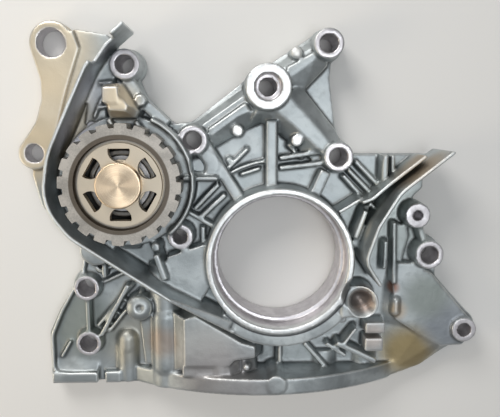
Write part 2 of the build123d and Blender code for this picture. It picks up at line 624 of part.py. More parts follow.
with BuildPart() as oil_ways:
    # pocket for the cover and the rotors, with its two ports
    with BuildSketch() as cover_seat:
        disc(PUMP, cover_radius + COVER_CLEARANCE)
        for ear in cover_ears:
            disc(ear, COVER_EAR_RADIUS + COVER_CLEARANCE)
    extrude(cover_seat.sketch, amount=rotor_back)
    drill([pocket_centre], 2 * (DRIVEN_ROTOR_RADIUS + ROTOR_RUNNING_CLEARANCE), rotor_back, rotor_front)
    drill(cover_ears, COVER_SCREW_TAP, rotor_back, rotor_back + COVER_SCREW_REACH)
    drill(cover_pins, 2 * COVER_PIN_RADIUS, rotor_back, rotor_back + COVER_PIN_REACH)
    with BuildSketch(Plane.XY.offset(rotor_front)) as ports:
        for first, last in [(105, 250), (-70, 75)]:
            add(port_plan(first, last))
        bar((RELIEF_X, PUMP[1]), (RELIEF_X, pocket_centre[1] - DRIVEN_ROTOR_RADIUS + 4), RELIEF_FEED)
    extrude(ports.sketch, amount=PORT_DEPTH)

    # outlet to the rear face, with its ring groove
    drill([outlet], OUTLET_HOLE, 0, port_top)
    with BuildSketch(Plane.XY.offset(rotor_front)) as outlet_way:
        bar(outlet, PUMP, OUTLET_HOLE)
        disc(PUMP, LOBE_CIRCLE - LOBE_RADIUS, mode=Mode.SUBTRACT)
    extrude(outlet_way.sketch, amount=PORT_DEPTH)
    with BuildSketch() as ring_groove:
        disc(outlet, OUTLET_RING_RADIUS + OUTLET_RING_SECTION)
        disc(outlet, OUTLET_RING_RADIUS - OUTLET_RING_SECTION, mode=Mode.SUBTRACT)
    extrude(ring_groove.sketch, amount=2 * OUTLET_RING_SECTION)

    # inlet from the pan face and its channel to the suction port
    drill_up([(INLET_X, INLET_Z)], INLET_HOLE, PAN_Y, INLET_LENGTH)
    drill([inlet_end], SUCTION_WIDTH - 2, 0, INLET_Z)
    with BuildSketch() as suction_channel:
        bar(inlet_end, suction_end, SUCTION_WIDTH)
        disc(inlet_end, SUCTION_WIDTH / 2)
        disc(suction_end, SUCTION_WIDTH / 2)
    extrude(suction_channel.sketch, amount=SUCTION_DEPTH)
    drill([suction_end], SUCTION_WIDTH, 0, port_top)
    with BuildSketch(Plane.XY.offset(rotor_back)) as suction_mouth:
        bar(suction_end, polar(PUMP, 18, 245), SUCTION_WIDTH)
    extrude(suction_mouth.sketch, amount=port_top - rotor_back)

    # relief valve bore and its feed
    drill_up([(RELIEF_X, RELIEF_Z)], RELIEF_BORE, PAN_Y, RELIEF_BORE_TOP - PAN_Y)
    drill_up([(RELIEF_X, RELIEF_Z)], RELIEF_FEED, PAN_Y, PUMP[1] - DRIVEN_ROTOR_RADIUS + 8 - PAN_Y)
    drill_up([(RELIEF_X, RELIEF_Z)], RELIEF_BORE + 2 * RING_GROOVE, PAN_Y + RETAINER_DEPTH - RING_THICKNESS,
             RING_THICKNESS)
    with BuildSketch() as spill:
        bar((RELIEF_X, RELIEF_BORE_TOP - SPILL_START + SPILL_WIDTH / 2), (RELIEF_X, inlet_end[1] + 20),
            SPILL_WIDTH)
    extrude(spill.sketch, amount=RELIEF_Z)


with BuildPart() as machining:
    # crankshaft opening: rear lip and seal bore
    drill([(0, 0)], 2 * CRANK_LIP_RADIUS, 0, COLLAR_TOP)
    drill([(0, 0)], 2 * CRANK_SEAL_RADIUS, COLLAR_TOP - CRANK_SEAL_DEPTH, GUARD_TOP)

    # bolt holes, idler stud hole and arm eyes
    drill([BOLT_TOWER, BOLT_INNER, BOLT_TOP, BOLT_UPPER, BOLT_RIGHT, BOLT_LEFT, BOLT_LEFT_LOW],
          BOLT_HOLE, 0, GUARD_TOP)
    drill([BOLT_MIDDLE, BOLT_CORNER], SMALL_BOLT_HOLE, 0, GUARD_TOP)
    drill([IDLER], IDLER_HOLE, 0, IDLER_TOP)
    drill([IDLER], IDLER_COUNTERBORE, IDLER_TOP - IDLER_COUNTERBORE_DEPTH, IDLER_TOP)
    drill([STUD_BOSS], STUD_TAP, BOSS_TOP - STUD_TAP_DEPTH, BOSS_TOP)
    drill([ARM_EYE], ARM_EYE_HOLE, 0, ARM_TOP)
    drill([ARM_FOOT], ARM_FOOT_HOLE, 0, ARM_TOP)

    # the guard wall slopes down to the seal collar
    with BuildSketch(Plane.XZ.offset(-GUARD_SLOPE_Y[0])) as slope:
        with BuildLine():
            Polyline((GUARD_SLOPE_X[0], GUARD_TOP), (GUARD_SLOPE_X[1], COLLAR_TOP), (0, COLLAR_TOP),
                     (0, GUARD_TOP + 1), (GUARD_SLOPE_X[0], GUARD_TOP + 1), close=True)
        make_face()
    extrude(slope.sketch, amount=GUARD_SLOPE_Y[0] - GUARD_SLOPE_Y[1])

    # notch near the upper end of the guard wall
    with BuildSketch(Plane.XY.offset(GUARD_NOTCH_FLOOR)) as notch:
        bar(*GUARD_NOTCH, 4 * GUARD_WALL)
    extrude(notch.sketch, amount=GUARD_TOP - GUARD_NOTCH_FLOOR)

    # shaft bush bore and oil seal seat
    drill([PUMP], 2 * (SHAFT_RADIUS + BUSH_WALL), rotor_front, seal_seat)
    drill([PUMP], 2 * seal_outer, seal_seat, SEAL_BOSS_TOP)

    # tapped holes of the pan face and of the inlet
    drill_up([(x, PAN_BOLT_LEVEL) for x in PAN_BOLTS], PAN_BOLT_TAP, PAN_Y, PAN_BOLT_DEPTH)
    drill_up([(INLET_X - INLET_BOLT_SPACING / 2, INLET_Z), (INLET_X + INLET_BOLT_SPACING / 2, INLET_Z)],
             PAN_BOLT_TAP, PAN_Y, PAN_BOLT_DEPTH)


with BuildPart() as hollows:
    extrude(rear_hollows(), amount=FLOOR_TOP - SKIN)


with BuildPart() as pump_housing:
    extrude(case_plan(), amount=FLOOR_TOP)
    extrude(arm_plan(), amount=ARM_TOP)
    add([front_work.part, pan_work.part])
    add([hollows.part, oil_ways.part, machining.part], mode=Mode.SUBTRACT)
export(pump_housing, "pump_housing")


# ---------------------------------------------------------------------------
# Pump cover and its screws
# ---------------------------------------------------------------------------

with BuildPart() as pump_cover:
    with BuildSketch(Plane.XY.offset(COVER_SINK)):
        disc(PUMP, cover_radius)
        for ear in cover_ears:
            disc(ear, COVER_EAR_RADIUS)
    extrude(amount=COVER_THICKNESS)
    with Locations((*PUMP, rotor_back)):
        Hole(SHAFT_RADIUS + BUSH_WALL, COVER_THICKNESS)
    with Locations(*[(*pin, rotor_back) for pin in cover_pins]):
        Hole(COVER_PIN_RADIUS, COVER_THICKNESS)
    with Locations(*[Location((x, y, COVER_SINK), (180, 0, 0)) for x, y in cover_ears]):
        CounterSinkHole(COVER_SCREW_TAP / 2 + COVER_SCREW_PLAY, COVER_SCREW_HEAD / 2 + COVER_SCREW_PLAY)
export(pump_cover, "pump_cover")

with BuildPart() as cover_screws:
    for ear in cover_ears:
        with BuildSketch(Plane((*ear, 0), x_dir=(1, 0, 0), z_dir=(0, -1, 0))) as half:
            with BuildLine():
                head = COVER_SCREW_HEAD / 2
                shank = COVER_SCREW_TAP / 2
                top = rotor_back + COVER_SCREW_REACH - 1
                start = COVER_SINK + COVER_SCREW_PLAY
                Polyline((COVER_SCREW_SOCKET / 2, start), (head, start), (shank, start + head - shank),
                         (shank, top), (0, top), (0, start + SOCKET_DEPTH),
                         (COVER_SCREW_SOCKET / 2, start + SOCKET_DEPTH), close=True)
            make_face()
        revolve(half.sketch, axis=Axis((*ear, 0), (0, 0, 1)))
export(cover_screws, "cover_screws")

with BuildPart() as cover_pins_part:
    drill(cover_pins, 2 * COVER_PIN_RADIUS, COVER_SINK, rotor_back + COVER_PIN_REACH)
export(cover_pins_part, "cover_pins")


# ---------------------------------------------------------------------------
# Rotors, shaft, bushes and oil seal
# ---------------------------------------------------------------------------

def drive_rotor_points(per_lobe):
    """Points of the trochoid that rolls inside the driven rotor's lobes.

    The profile lies one lobe radius inside the path of a lobe centre, with the tip clearance.
    """
    points = []
    count = per_lobe * (LOBES - 1)
    for number in range(count):
        turn = 2 * math.pi * number / count
        swing = (1 - LOBES) * turn
        lean = math.atan2(math.sin(swing), LOBE_CIRCLE / (ECCENTRICITY * LOBES) - math.cos(swing))
        reach = LOBE_RADIUS + TIP_CLEARANCE
        x = LOBE_CIRCLE * math.cos(turn) - reach * math.cos(turn + lean)
        y = -LOBE_CIRCLE * math.sin(turn) + reach * math.sin(turn + lean)
        x -= ECCENTRICITY * math.cos(LOBES * turn)
        y += ECCENTRICITY * math.sin(LOBES * turn)
        points.append((-y, x))
    return points


rotor_level = rotor_back + ROTOR_SIDE_CLEARANCE

with BuildPart() as driven_rotor:
    with BuildSketch(Plane((*pocket_centre, rotor_level))):
        Circle(DRIVEN_ROTOR_RADIUS)
        with BuildSketch(mode=Mode.PRIVATE) as chamber:
            Circle(LOBE_CIRCLE - LOBE_RADIUS + 2 * ECCENTRICITY + TIP_CLEARANCE)
            with PolarLocations(LOBE_CIRCLE, LOBES, start_angle=90):
                Circle(LOBE_RADIUS, mode=Mode.SUBTRACT)
        add(chamber.sketch, mode=Mode.SUBTRACT)
    extrude(amount=ROTOR_WIDTH)
export(driven_rotor, "driven_rotor")

with BuildPart() as drive_rotor:
    with BuildSketch(Plane((*PUMP, rotor_level))):
        with BuildLine():
            profile = drive_rotor_points(ROTOR_POINTS_PER_LOBE)
            for number in range(0, len(profile), 2):
                ThreePointArc(profile[number - 2], profile[number - 1], profile[number])
        make_face()
        Circle(SHAFT_RADIUS, mode=Mode.SUBTRACT)
        with Locations((0, SHAFT_RADIUS)):
            Rectangle(KEY_WIDTH, 2 * KEY_RISE, mode=Mode.SUBTRACT)
    extrude(amount=ROTOR_WIDTH)
export(drive_rotor, "drive_rotor")

shaft_back = COVER_SINK + 0.7

with BuildPart() as drive_shaft:
    with BuildSketch(Plane((*PUMP, 0), x_dir=(1, 0, 0), z_dir=(0, -1, 0))):
        with BuildLine():
            Polyline((0, shaft_back), (SHAFT_RADIUS - 1, shaft_back), (SHAFT_RADIUS, shaft_back + 1),
                     (SHAFT_RADIUS, PULLEY_WEB_FRONT), (SHAFT_HEAD_RADIUS, PULLEY_WEB_FRONT),
                     (SHAFT_HEAD_RADIUS, SHAFT_HEAD_TOP - 0.6),
                     (SHAFT_HEAD_RADIUS - 0.6, SHAFT_HEAD_TOP), (0, SHAFT_HEAD_TOP), close=True)
        make_face()
    revolve(axis=Axis((*PUMP, 0), (0, 0, 1)))
    for level, length in [(rotor_level, ROTOR_WIDTH), (PULLEY_HUB_BACK, PULLEY_WEB_FRONT - PULLEY_HUB_BACK)]:
        with BuildSketch(Plane((*PUMP, level))) as keyway:
            with Locations((0, SHAFT_RADIUS)):
                Rectangle(KEY_WIDTH, 2 * KEY_RISE)
        extrude(keyway.sketch, amount=length, mode=Mode.SUBTRACT)
export(drive_shaft, "drive_shaft")


def key(name, level, length):
    """A square key that sits half in the shaft and half in the hub."""
    with BuildPart() as block:
        with BuildSketch(Plane((*PUMP, level))):
            with Locations((0, SHAFT_RADIUS)):
                Rectangle(KEY_WIDTH, 2 * KEY_RISE)
        extrude(amount=length)
    export(block, name)


key("rotor_key", rotor_level, ROTOR_WIDTH)
key("pulley_key", PULLEY_HUB_BACK, PULLEY_WEB_FRONT - PULLEY_HUB_BACK)


def bush(name, level, length):
    """A thin plain bearing, pressed into its seat and running on the shaft."""
    with BuildPart() as sleeve:
        with BuildSketch(Plane((*PUMP, level))):
            Circle(SHAFT_RADIUS + BUSH_WALL)
            Circle(SHAFT_RADIUS + BUSH_CLEARANCE, mode=Mode.SUBTRACT)
        extrude(amount=length)
    export(sleeve, name)


bush("front_bush", rotor_front, seal_seat - rotor_front)
bush("cover_bush", COVER_SINK, COVER_THICKNESS)

seal_top = SEAL_BOSS_TOP - SEAL_SINK

with BuildPart() as shaft_seal_case:
    with BuildSketch(Plane((*PUMP, seal_seat))):
        Circle(seal_outer)
        Circle(seal_outer - SEAL_CASE_WALL, mode=Mode.SUBTRACT)
    extrude(amount=seal_top - seal_seat)
    with BuildSketch(Plane((*PUMP, seal_top - SEAL_CASE_WALL))):
        Circle(seal_outer)
        Circle(SHAFT_RADIUS + SEAL_LIP_WIDTH, mode=Mode.SUBTRACT)
    extrude(amount=SEAL_CASE_WALL)
export(shaft_seal_case, "shaft_seal_case")

with BuildPart() as shaft_seal_lip:
    with BuildSketch(Plane((*PUMP, 0), x_dir=(1, 0, 0), z_dir=(0, -1, 0))):
        with BuildLine():
            lip = SHAFT_RADIUS + BUSH_CLEARANCE
            under = seal_top - SEAL_CASE_WALL
            Polyline((seal_outer - SEAL_CASE_WALL, under), (seal_outer - SEAL_CASE_WALL, under - 1),
                     (SHAFT_RADIUS + SEAL_LIP_WIDTH, under - 1),
                     (SHAFT_RADIUS + SEAL_LIP_WIDTH, seal_seat + 0.4),
                     (lip + 0.8, seal_seat + 0.4), (lip, seal_seat + 1.2), (lip + 0.9, under), close=True)
        make_face()
    revolve(axis=Axis((*PUMP, 0), (0, 0, 1)))
export(shaft_seal_lip, "shaft_seal_lip")

with BuildPart() as seal_spring:
    with BuildSketch(Plane((*PUMP, 0), x_dir=(1, 0, 0), z_dir=(0, -1, 0))):
        with Locations((SHAFT_RADIUS + SEAL_LIP_WIDTH + SEAL_SPRING_RADIUS, seal_seat + 1.6)):
            RegularPolygon(SEAL_SPRING_RADIUS, RING_SIDES)
    revolve(axis=Axis((*PUMP, 0), (0, 0, 1)))
export(seal_spring, "seal_spring")


# ---------------------------------------------------------------------------
# Belt pulley
# ---------------------------------------------------------------------------

def tooth_gap_plan():
    """One trapezoid gap between two teeth, pointing along +X."""
    with BuildSketch() as gap:
        with BuildLine():
            root = tip_radius - TOOTH_DEPTH
            Polyline((root, -GAP_ROOT / 2), (tip_radius + 1, -GAP_MOUTH / 2), (tip_radius + 1, GAP_MOUTH / 2),
                     (root, GAP_ROOT / 2), close=True)
        make_face()
    return gap.sketch


def window_plan():
    """One lightening window of the web: flat outside, round towards the hub."""
    with BuildSketch() as window:
        with Locations((WINDOW_MIDDLE, 0)):
            Circle(WINDOW_RADIUS)
        with Locations((WINDOW_FLAT + WINDOW_RADIUS, 0)):
            Rectangle(2 * WINDOW_RADIUS, 3 * WINDOW_RADIUS, mode=Mode.SUBTRACT)
    return window.sketch


with BuildPart() as belt_pulley:
    with BuildSketch(Plane((*PUMP, 0), x_dir=(1, 0, 0), z_dir=(0, -1, 0))):
        with BuildLine():
            Polyline((tip_radius, PULLEY_BACK), (tip_radius, PULLEY_FRONT),
                     (PULLEY_GROOVE_RADIUS, PULLEY_FRONT), (PULLEY_GROOVE_RADIUS, PULLEY_GROOVE_FLOOR),
                     (PULLEY_DISC_RADIUS, PULLEY_GROOVE_FLOOR),
                     (PULLEY_DISC_RADIUS, PULLEY_WEB_FRONT), (SHAFT_RADIUS, PULLEY_WEB_FRONT),
                     (SHAFT_RADIUS, PULLEY_HUB_BACK), (PULLEY_HUB_RADIUS, PULLEY_HUB_BACK),
                     (PULLEY_HUB_RADIUS, PULLEY_WEB_BACK), (PULLEY_RIM_INNER, PULLEY_WEB_BACK),
                     (PULLEY_RIM_INNER, PULLEY_BACK), close=True)
        make_face()
    revolve(axis=Axis((*PUMP, 0), (0, 0, 1)))
    with BuildSketch(Plane((*PUMP, PULLEY_BACK))) as gaps:
        with PolarLocations(0, PULLEY_TEETH, start_angle=PULLEY_PHASE):
            add(tooth_gap_plan())
    extrude(gaps.sketch, amount=PULLEY_FRONT - PULLEY_BACK, mode=Mode.SUBTRACT)
    with BuildSketch(Plane((*PUMP, PULLEY_WEB_BACK))) as windows:
        with PolarLocations(0, WINDOWS, start_angle=WINDOW_PHASE):
            add(window_plan())
    extrude(windows.sketch, amount=PULLEY_WEB_FRONT - PULLEY_WEB_BACK, mode=Mode.SUBTRACT)
    with BuildSketch(Plane((*PUMP, PULLEY_HUB_BACK))) as pulley_keyway:
        with Locations((0, SHAFT_RADIUS)):
            Rectangle(KEY_WIDTH, 2 * KEY_RISE)
    extrude(pulley_keyway.sketch, amount=PULLEY_WEB_FRONT - PULLEY_HUB_BACK, mode=Mode.SUBTRACT)
export(belt_pulley, "belt_pulley")


# ---------------------------------------------------------------------------
# Relief valve: piston, spring, retainer and snap ring, in the bore from the pan face
# ---------------------------------------------------------------------------

def relief_plane(level):
    """The plane across the relief bore at a height up the case, facing up."""
    return Plane((RELIEF_X, level, RELIEF_Z), x_dir=(1, 0, 0), z_dir=(0, 1, 0))


piston_radius = RELIEF_BORE / 2 - PISTON_CLEARANCE
piston_bottom = RELIEF_BORE_TOP - PISTON_LENGTH
retainer_top = PAN_Y + RETAINER_DEPTH + RETAINER_LENGTH

with BuildPart() as relief_piston:
    with BuildSketch(relief_plane(piston_bottom)):
        Circle(piston_radius)
    extrude(amount=PISTON_LENGTH)
    with BuildSketch(relief_plane(piston_bottom)) as skirt:
        Circle(piston_radius - PISTON_WALL)
    extrude(skirt.sketch, amount=PISTON_LENGTH - PISTON_CROWN, mode=Mode.SUBTRACT)
    chamfer(relief_piston.edges().group_by(Axis.Y)[-1], 0.6)
export(relief_piston, "relief_piston")

with BuildPart() as relief_spring:
    with BuildSketch(relief_plane(retainer_top)):
        Circle(SPRING_RADIUS)
        Circle(SPRING_RADIUS - SPRING_WIRE, mode=Mode.SUBTRACT)
    extrude(amount=piston_bottom + PISTON_LENGTH - PISTON_CROWN - retainer_top)
export(relief_spring, "relief_spring")

with BuildPart() as spring_retainer:
    with BuildSketch(relief_plane(PAN_Y + RETAINER_DEPTH)):
        Circle(RELIEF_BORE / 2)
        Circle(RETAINER_HOLE / 2, mode=Mode.SUBTRACT)
    extrude(amount=RETAINER_LENGTH)
export(spring_retainer, "spring_retainer")

with BuildPart() as retainer_ring:
    with BuildSketch(relief_plane(PAN_Y + RETAINER_DEPTH - RING_THICKNESS)):
        Circle(RELIEF_BORE / 2 + RING_GROOVE)
        Circle(RELIEF_BORE / 2 - RING_WIDTH, mode=Mode.SUBTRACT)
        with Locations((0, -RELIEF_BORE / 2)):
            Rectangle(RING_GAP, RELIEF_BORE, mode=Mode.SUBTRACT)
    extrude(amount=RING_THICKNESS)
export(retainer_ring, "retainer_ring")

with BuildPart() as outlet_ring:
    with BuildSketch(Plane((*outlet, 0), x_dir=(1, 0, 0), z_dir=(0, -1, 0))):
        with Locations((OUTLET_RING_RADIUS, OUTLET_RING_SECTION)):
            RegularPolygon(OUTLET_RING_SECTION - RING_PLAY, RING_SIDES)
    revolve(axis=Axis((*outlet, 0), (0, 0, 1)))
export(outlet_ring, "outlet_ring")
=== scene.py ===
import math

import bpy
import numpy as np
from mathutils import Matrix, Vector


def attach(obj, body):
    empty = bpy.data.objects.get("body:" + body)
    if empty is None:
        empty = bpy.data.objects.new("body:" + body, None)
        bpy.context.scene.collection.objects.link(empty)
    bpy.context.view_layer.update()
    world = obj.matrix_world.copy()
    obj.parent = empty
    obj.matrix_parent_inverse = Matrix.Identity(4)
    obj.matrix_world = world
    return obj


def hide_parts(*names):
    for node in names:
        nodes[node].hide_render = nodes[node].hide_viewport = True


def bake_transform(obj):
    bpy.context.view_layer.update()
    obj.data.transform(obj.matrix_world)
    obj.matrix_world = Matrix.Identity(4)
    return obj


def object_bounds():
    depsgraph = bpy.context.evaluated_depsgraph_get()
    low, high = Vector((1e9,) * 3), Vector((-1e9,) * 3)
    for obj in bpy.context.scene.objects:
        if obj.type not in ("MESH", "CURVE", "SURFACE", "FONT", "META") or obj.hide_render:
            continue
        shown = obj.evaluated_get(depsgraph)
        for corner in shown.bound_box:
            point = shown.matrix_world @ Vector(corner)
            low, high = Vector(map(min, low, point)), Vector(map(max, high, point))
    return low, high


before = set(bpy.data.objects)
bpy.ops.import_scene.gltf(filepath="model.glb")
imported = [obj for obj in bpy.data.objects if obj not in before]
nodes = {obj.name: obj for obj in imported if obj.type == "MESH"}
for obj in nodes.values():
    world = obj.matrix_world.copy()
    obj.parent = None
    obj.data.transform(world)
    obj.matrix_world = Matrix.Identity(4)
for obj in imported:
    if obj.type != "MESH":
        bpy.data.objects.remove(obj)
cad_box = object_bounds()
MM = 0.001


# ---------------------------------------------------------------------------
# Bench, light and camera
# ---------------------------------------------------------------------------
# The pump lies on its gasket face on a pale bench, under three soft lamps and a
# grey sky that is palest overhead. The camera looks down on it from the front.

CAMERA_PLACE = (-0.02503, 0.07173, 0.327)
CAMERA_RIGHT = Vector((0.99950941, 0.0, 0.03131984))
CAMERA_UP = Vector((0.00451967, 0.98953298, -0.1442361))
LENS_MM = 43.2
SENSOR_MM = 36.0
NEAREST_SEEN = 0.01
BENCH_HALF_SIDE = 3.0
BENCH_DROP = 0.0004
BENCH_COLOUR = (0.78, 0.77, 0.75, 1)
BENCH_ROUGHNESS = 0.75
LAMP_AIM = Vector((0, 0, 0.01))
SKY_STOPS = [  # how steeply the direction looks up, colour
    (0.15, (0.16, 0.155, 0.15, 1)),
    (0.72, (0.26, 0.265, 0.27, 1)),
    (0.98, (0.60, 0.62, 0.64, 1)),
]
LAMPS = [  # name, place, side in metres, power in watts, colour
    ("window_lamp", (-0.28, 0.50, 0.42), 0.30, 2.3, (1.0, 0.98, 0.95)),
    ("ceiling_lamp", (0.12, 0.02, 0.75), 0.25, 1.1, (0.95, 0.98, 1.0)),
    ("warm_lamp", (-0.62, -0.12, 0.30), 0.30, 1.2, (1.0, 0.86, 0.66)),
]


def joined(tree, source, target):
    """Joins an output socket to an input socket."""
    tree.links.new(source, target)


def shader_node(tree, kind, **settings):
    """Adds a shader node and sets the properties that are given."""
    made = tree.nodes.new(kind)
    for name, value in settings.items():
        setattr(made, name, value)
    return made


def placed(name, data):
    """An object that shows this data, linked to the scene."""
    made = bpy.data.objects.new(name, data)
    bpy.context.scene.collection.objects.link(made)
    return made


def soft_lamp(name, place, side, power, colour):
    """A square lamp that faces the middle of the pump."""
    lamp = bpy.data.lights.new(name, "AREA")
    lamp.size = side
    lamp.energy = power
    lamp.color = colour
    holder = placed(name, lamp)
    holder.location = place
    holder.rotation_mode = "QUATERNION"
    holder.rotation_quaternion = (LAMP_AIM - Vector(place)).to_track_quat("-Z", "Y")


camera_data = bpy.data.cameras.new("camera")
camera_data.lens = LENS_MM
camera_data.sensor_width = SENSOR_MM
camera_data.clip_start = NEAREST_SEEN
camera = placed("camera", camera_data)
turned = Matrix((CAMERA_RIGHT, CAMERA_UP, CAMERA_RIGHT.cross(CAMERA_UP))).transposed()
camera.matrix_world = Matrix.Translation(CAMERA_PLACE) @ turned.to_4x4()
bpy.context.scene.camera = camera
bpy.context.scene.view_settings.view_transform = "Standard"

bench_mesh = bpy.data.meshes.new("bench")
bench_side = np.array([(-1, -1, 0), (1, -1, 0), (1, 1, 0), (-1, 1, 0)]) * BENCH_HALF_SIDE
bench_mesh.from_pydata((bench_side - (0, 0, BENCH_DROP)).tolist(), [], [(0, 1, 2, 3)])
bench = placed("bench", bench_mesh)
bench_paint = bpy.data.materials.new("bench_paint")
bench_paint.use_nodes = True
bench_shader = bench_paint.node_tree.nodes["Principled BSDF"]
bench_shader.inputs["Base Color"].default_value = BENCH_COLOUR
bench_shader.inputs["Roughness"].default_value = BENCH_ROUGHNESS
bench_mesh.materials.append(bench_paint)

world = bpy.data.worlds.new("studio")
world.use_nodes = True
bpy.context.scene.world = world
sky = world.node_tree
sky_places = shader_node(sky, "ShaderNodeTexCoord")
sky_parts = shader_node(sky, "ShaderNodeSeparateXYZ")
sky_ramp = shader_node(sky, "ShaderNodeValToRGB")
joined(sky, sky_places.outputs["Generated"], sky_parts.inputs[0])
joined(sky, sky_parts.outputs["Z"], sky_ramp.inputs["Fac"])
joined(sky, sky_ramp.outputs["Color"], sky.nodes["Background"].inputs["Color"])
sky_stops = sky_ramp.color_ramp.elements
sky_stops[0].position = SKY_STOPS[0][0]
sky_stops[1].position = SKY_STOPS[2][0]
sky_stops.new(SKY_STOPS[1][0])
for stop, (_, colour) in zip(sky_stops, SKY_STOPS):
    stop.color = colour
for lamp in LAMPS:
    soft_lamp(*lamp)


# ---------------------------------------------------------------------------
# Case
# ---------------------------------------------------------------------------
# The front case is one aluminium pressure die casting. Its ribs, bosses and
# walls have draft and small fillets all over; the bolt faces, the bores and
# the two gasket faces are machined bright.

PUMP_AXIS = (-79.0, 41.0)
PAN_FACE = -70
NOSE_RADIUS = 17.2         # machined nose round the shaft
NOSE_BASE = 27.5
POCKET_RADIUS = 33.4       # rotor pocket, from the rear face
POCKET_DEPTH = 17.4
RECESS_RADIUS = 39.0       # cover recess with its ears
RECESS_DEPTH = 5.8
RELIEF_AXIS = (-60.5, 13.5)  # x and z of the relief valve's bore
RELIEF_WALL = 5.12         # its radius, with room for the piston
RELIEF_ENDS = (-70.5, -6.1)
FACE_FADE = 0.5            # fade of the machined look off the gasket faces
BOSS_FADE = 0.3            # off the faced bosses, up and down
BOSS_RIM = 0.4             # cast rim left round a faced boss
BORE_FADE = 0.4            # round the bores
BORE_START = 1.4           # share at a bore's radius, so that it is whole just outside it
BORE_LOWEST = 0.3
CAST_VOXEL = 0.62 * MM
CAST_TRIANGLES = 190000
CAST_BASE = 8              # where added ribs, pads and slopes start, inside the floor
CREST_SHARE = 0.68         # crest of a thin rib, as a share of its foot
ROUNDING_PASSES = 5
BLUR_PASSES = 9
PULL = 0.6                 # share of the way to its neighbours that a point moves in a pass
RIDGE_HEIGHT = 0.35 * MM   # bulge past the blurred shape that counts as a full ridge
BOLT_FACES = [  # x, y, radius and height of each faced boss, in mm
    (-77.5, 99.5, 7.7, 22), (-44.5, 62, 7.7, 22), (24, 110, 7.7, 22), (30, 53.5, 7.7, 22),
    (79, 2, 7.7, 22), (-51.5, 12.5, 6.8, 22), (72, 23, 6.8, 22), (-101.5, -15.5, 6.8, 18),
    (-101.5, -46, 6.8, 18), (101, -40.5, 6.8, 18), (-6.5, 88.5, 11.5, 28), (0, 0, 38.3, 29)]
BORES = [  # x, y and radius of each bore from the front, in mm
    (-77.5, 99.5, 4.6), (-44.5, 62, 4.6), (24, 110, 4.6), (30, 53.5, 4.6), (79, 2, 4.6),
    (-51.5, 12.5, 3.7), (72, 23, 2.5), (-101.5, -15.5, 4.6), (-101.5, -46, 4.6),
    (101, -40.5, 3.7), (-6.5, 88.5, 6.9), (0, 0, 35), (-116, 111, 7.2), (-127.2, 55, 4.7)]
CROWNS = [  # centre, radius and edge drop of each domed boss, and the height above which it acts
    ((-74.0, -26.2), 7.0, 2.2, 19.0),
    ((8.2, 105.9), 3.0, 0.5, 16.5),
]
BOWLS = [  # centre, radius and depth of each sunk bowl, and the height above which it acts
    ((-73.6, -25.6), 2.4, 1.8, 19.0),
    ((42.6, -22.5), 7.0, 4.5, 27.5),
    ((40.0, -17.0), 8.5, 5.5, 24.5),
]
D_POCKET = [(-45.5, 55.1), (-42.4, 55.1), (-38.6, 49.5), (-38.6, 45.4), (-45.1, 45.9)]
D_POCKET_DEPTH = 5.0
D_POCKET_ABOVE = 18.5
POCKET_SLOPE = 0.8
DOME_CUT = 0.985           # share of its height at which a dome ends in a small flat
CROWN_REACH = 1.25         # how far out a crown acts, as a share of its radius
BORE_CORE = 0.5            # share of a cleared bore's radius inside which nothing moves


def read_array(items, field, columns, kind):
    """One field of many mesh items, as an array with this many columns."""
    values = np.empty(len(items) * columns, kind)
    items.foreach_get(field, values)
    return values.reshape(-1, columns)


def merged_arrays(node):
    """The corners and triangles of a CAD node, with corners merged that round to the same 0.002 mm."""
    mesh = nodes[node].data
    mesh.calc_loop_triangles()
    places = read_array(mesh.vertices, "co", 3, np.float32)
    corners = read_array(mesh.loop_triangles, "vertices", 3, np.int32)
    rounded = np.round(places / (0.002 * MM)).astype(np.int64)
    _, first, same = np.unique(rounded, axis=0, return_index=True, return_inverse=True)
    triangles = same.ravel()[corners]
    a, b, c = triangles.T
    return places[first], triangles[(a != b) & (b != c) & (c != a)]


def stacked(rings):
    """Corners and faces in mm of a solid whose levels are like-sided outlines, joined side by side."""
    rings = np.array(rings, float)
    levels, sides = rings.shape[:2]
    step = np.arange(sides)
    ring = np.arange(levels - 1)[:, None] * sides
    after = (step + 1) % sides
    walls = np.stack([ring + step, ring + after, ring + sides + after, ring + sides + step], -1)
    top = step + (levels - 1) * sides
    return rings.reshape(-1, 3), [tuple(step[::-1]), tuple(top), *map(tuple, walls.reshape(-1, 4))]


def level(outline, height):
    """A flat outline lifted to one height."""
    return [(x, y, height) for x, y in outline]


def drafted_bar(start, end, foot, crest, base, top):
    """A straight rib: at each level a rectangle along its line, leaning in from foot to crest width."""
    start, end = np.array(start, float), np.array(end, float)
    along = (end - start) / np.linalg.norm(end - start)
    side = np.array([-along[1], along[0]])
    rings = []
    for height, width in [(base, foot), (top, crest)]:
        half, inset = width / 2, (foot - width) / 2
        first, last = start + along * inset, end - along * inset
        rings.append(level([first - side * half, last - side * half, last + side * half,
                            first + side * half], height))
    return stacked(rings)


def drafted_pad(centre, foot, crest, base, top, sides=28):
    """A round pad: at each level a circle about its centre, leaning in from foot to crest radius."""
    turn = np.linspace(0, 2 * np.pi, sides, endpoint=False)
    circle = np.column_stack([np.cos(turn), np.sin(turn)])
    centre = np.array(centre)
    return stacked([level(centre + foot * circle, base), level(centre + crest * circle, top)])


def arc_wall(centre, radius, width, first, last, base, top, steps=60):
    """A curved wall: a standing rectangle carried round a centre from the first to the last angle."""
    turn = np.radians(np.linspace(first, last, steps))[:, None]
    reach = np.array([radius - width / 2, radius + width / 2, radius + width / 2, radius - width / 2])
    height = np.array([base, base, top, top]) + 0 * turn
    across = centre[0] + reach * np.cos(turn)
    up = centre[1] + reach * np.sin(turn)
    return stacked(np.stack([across, up, height], -1))


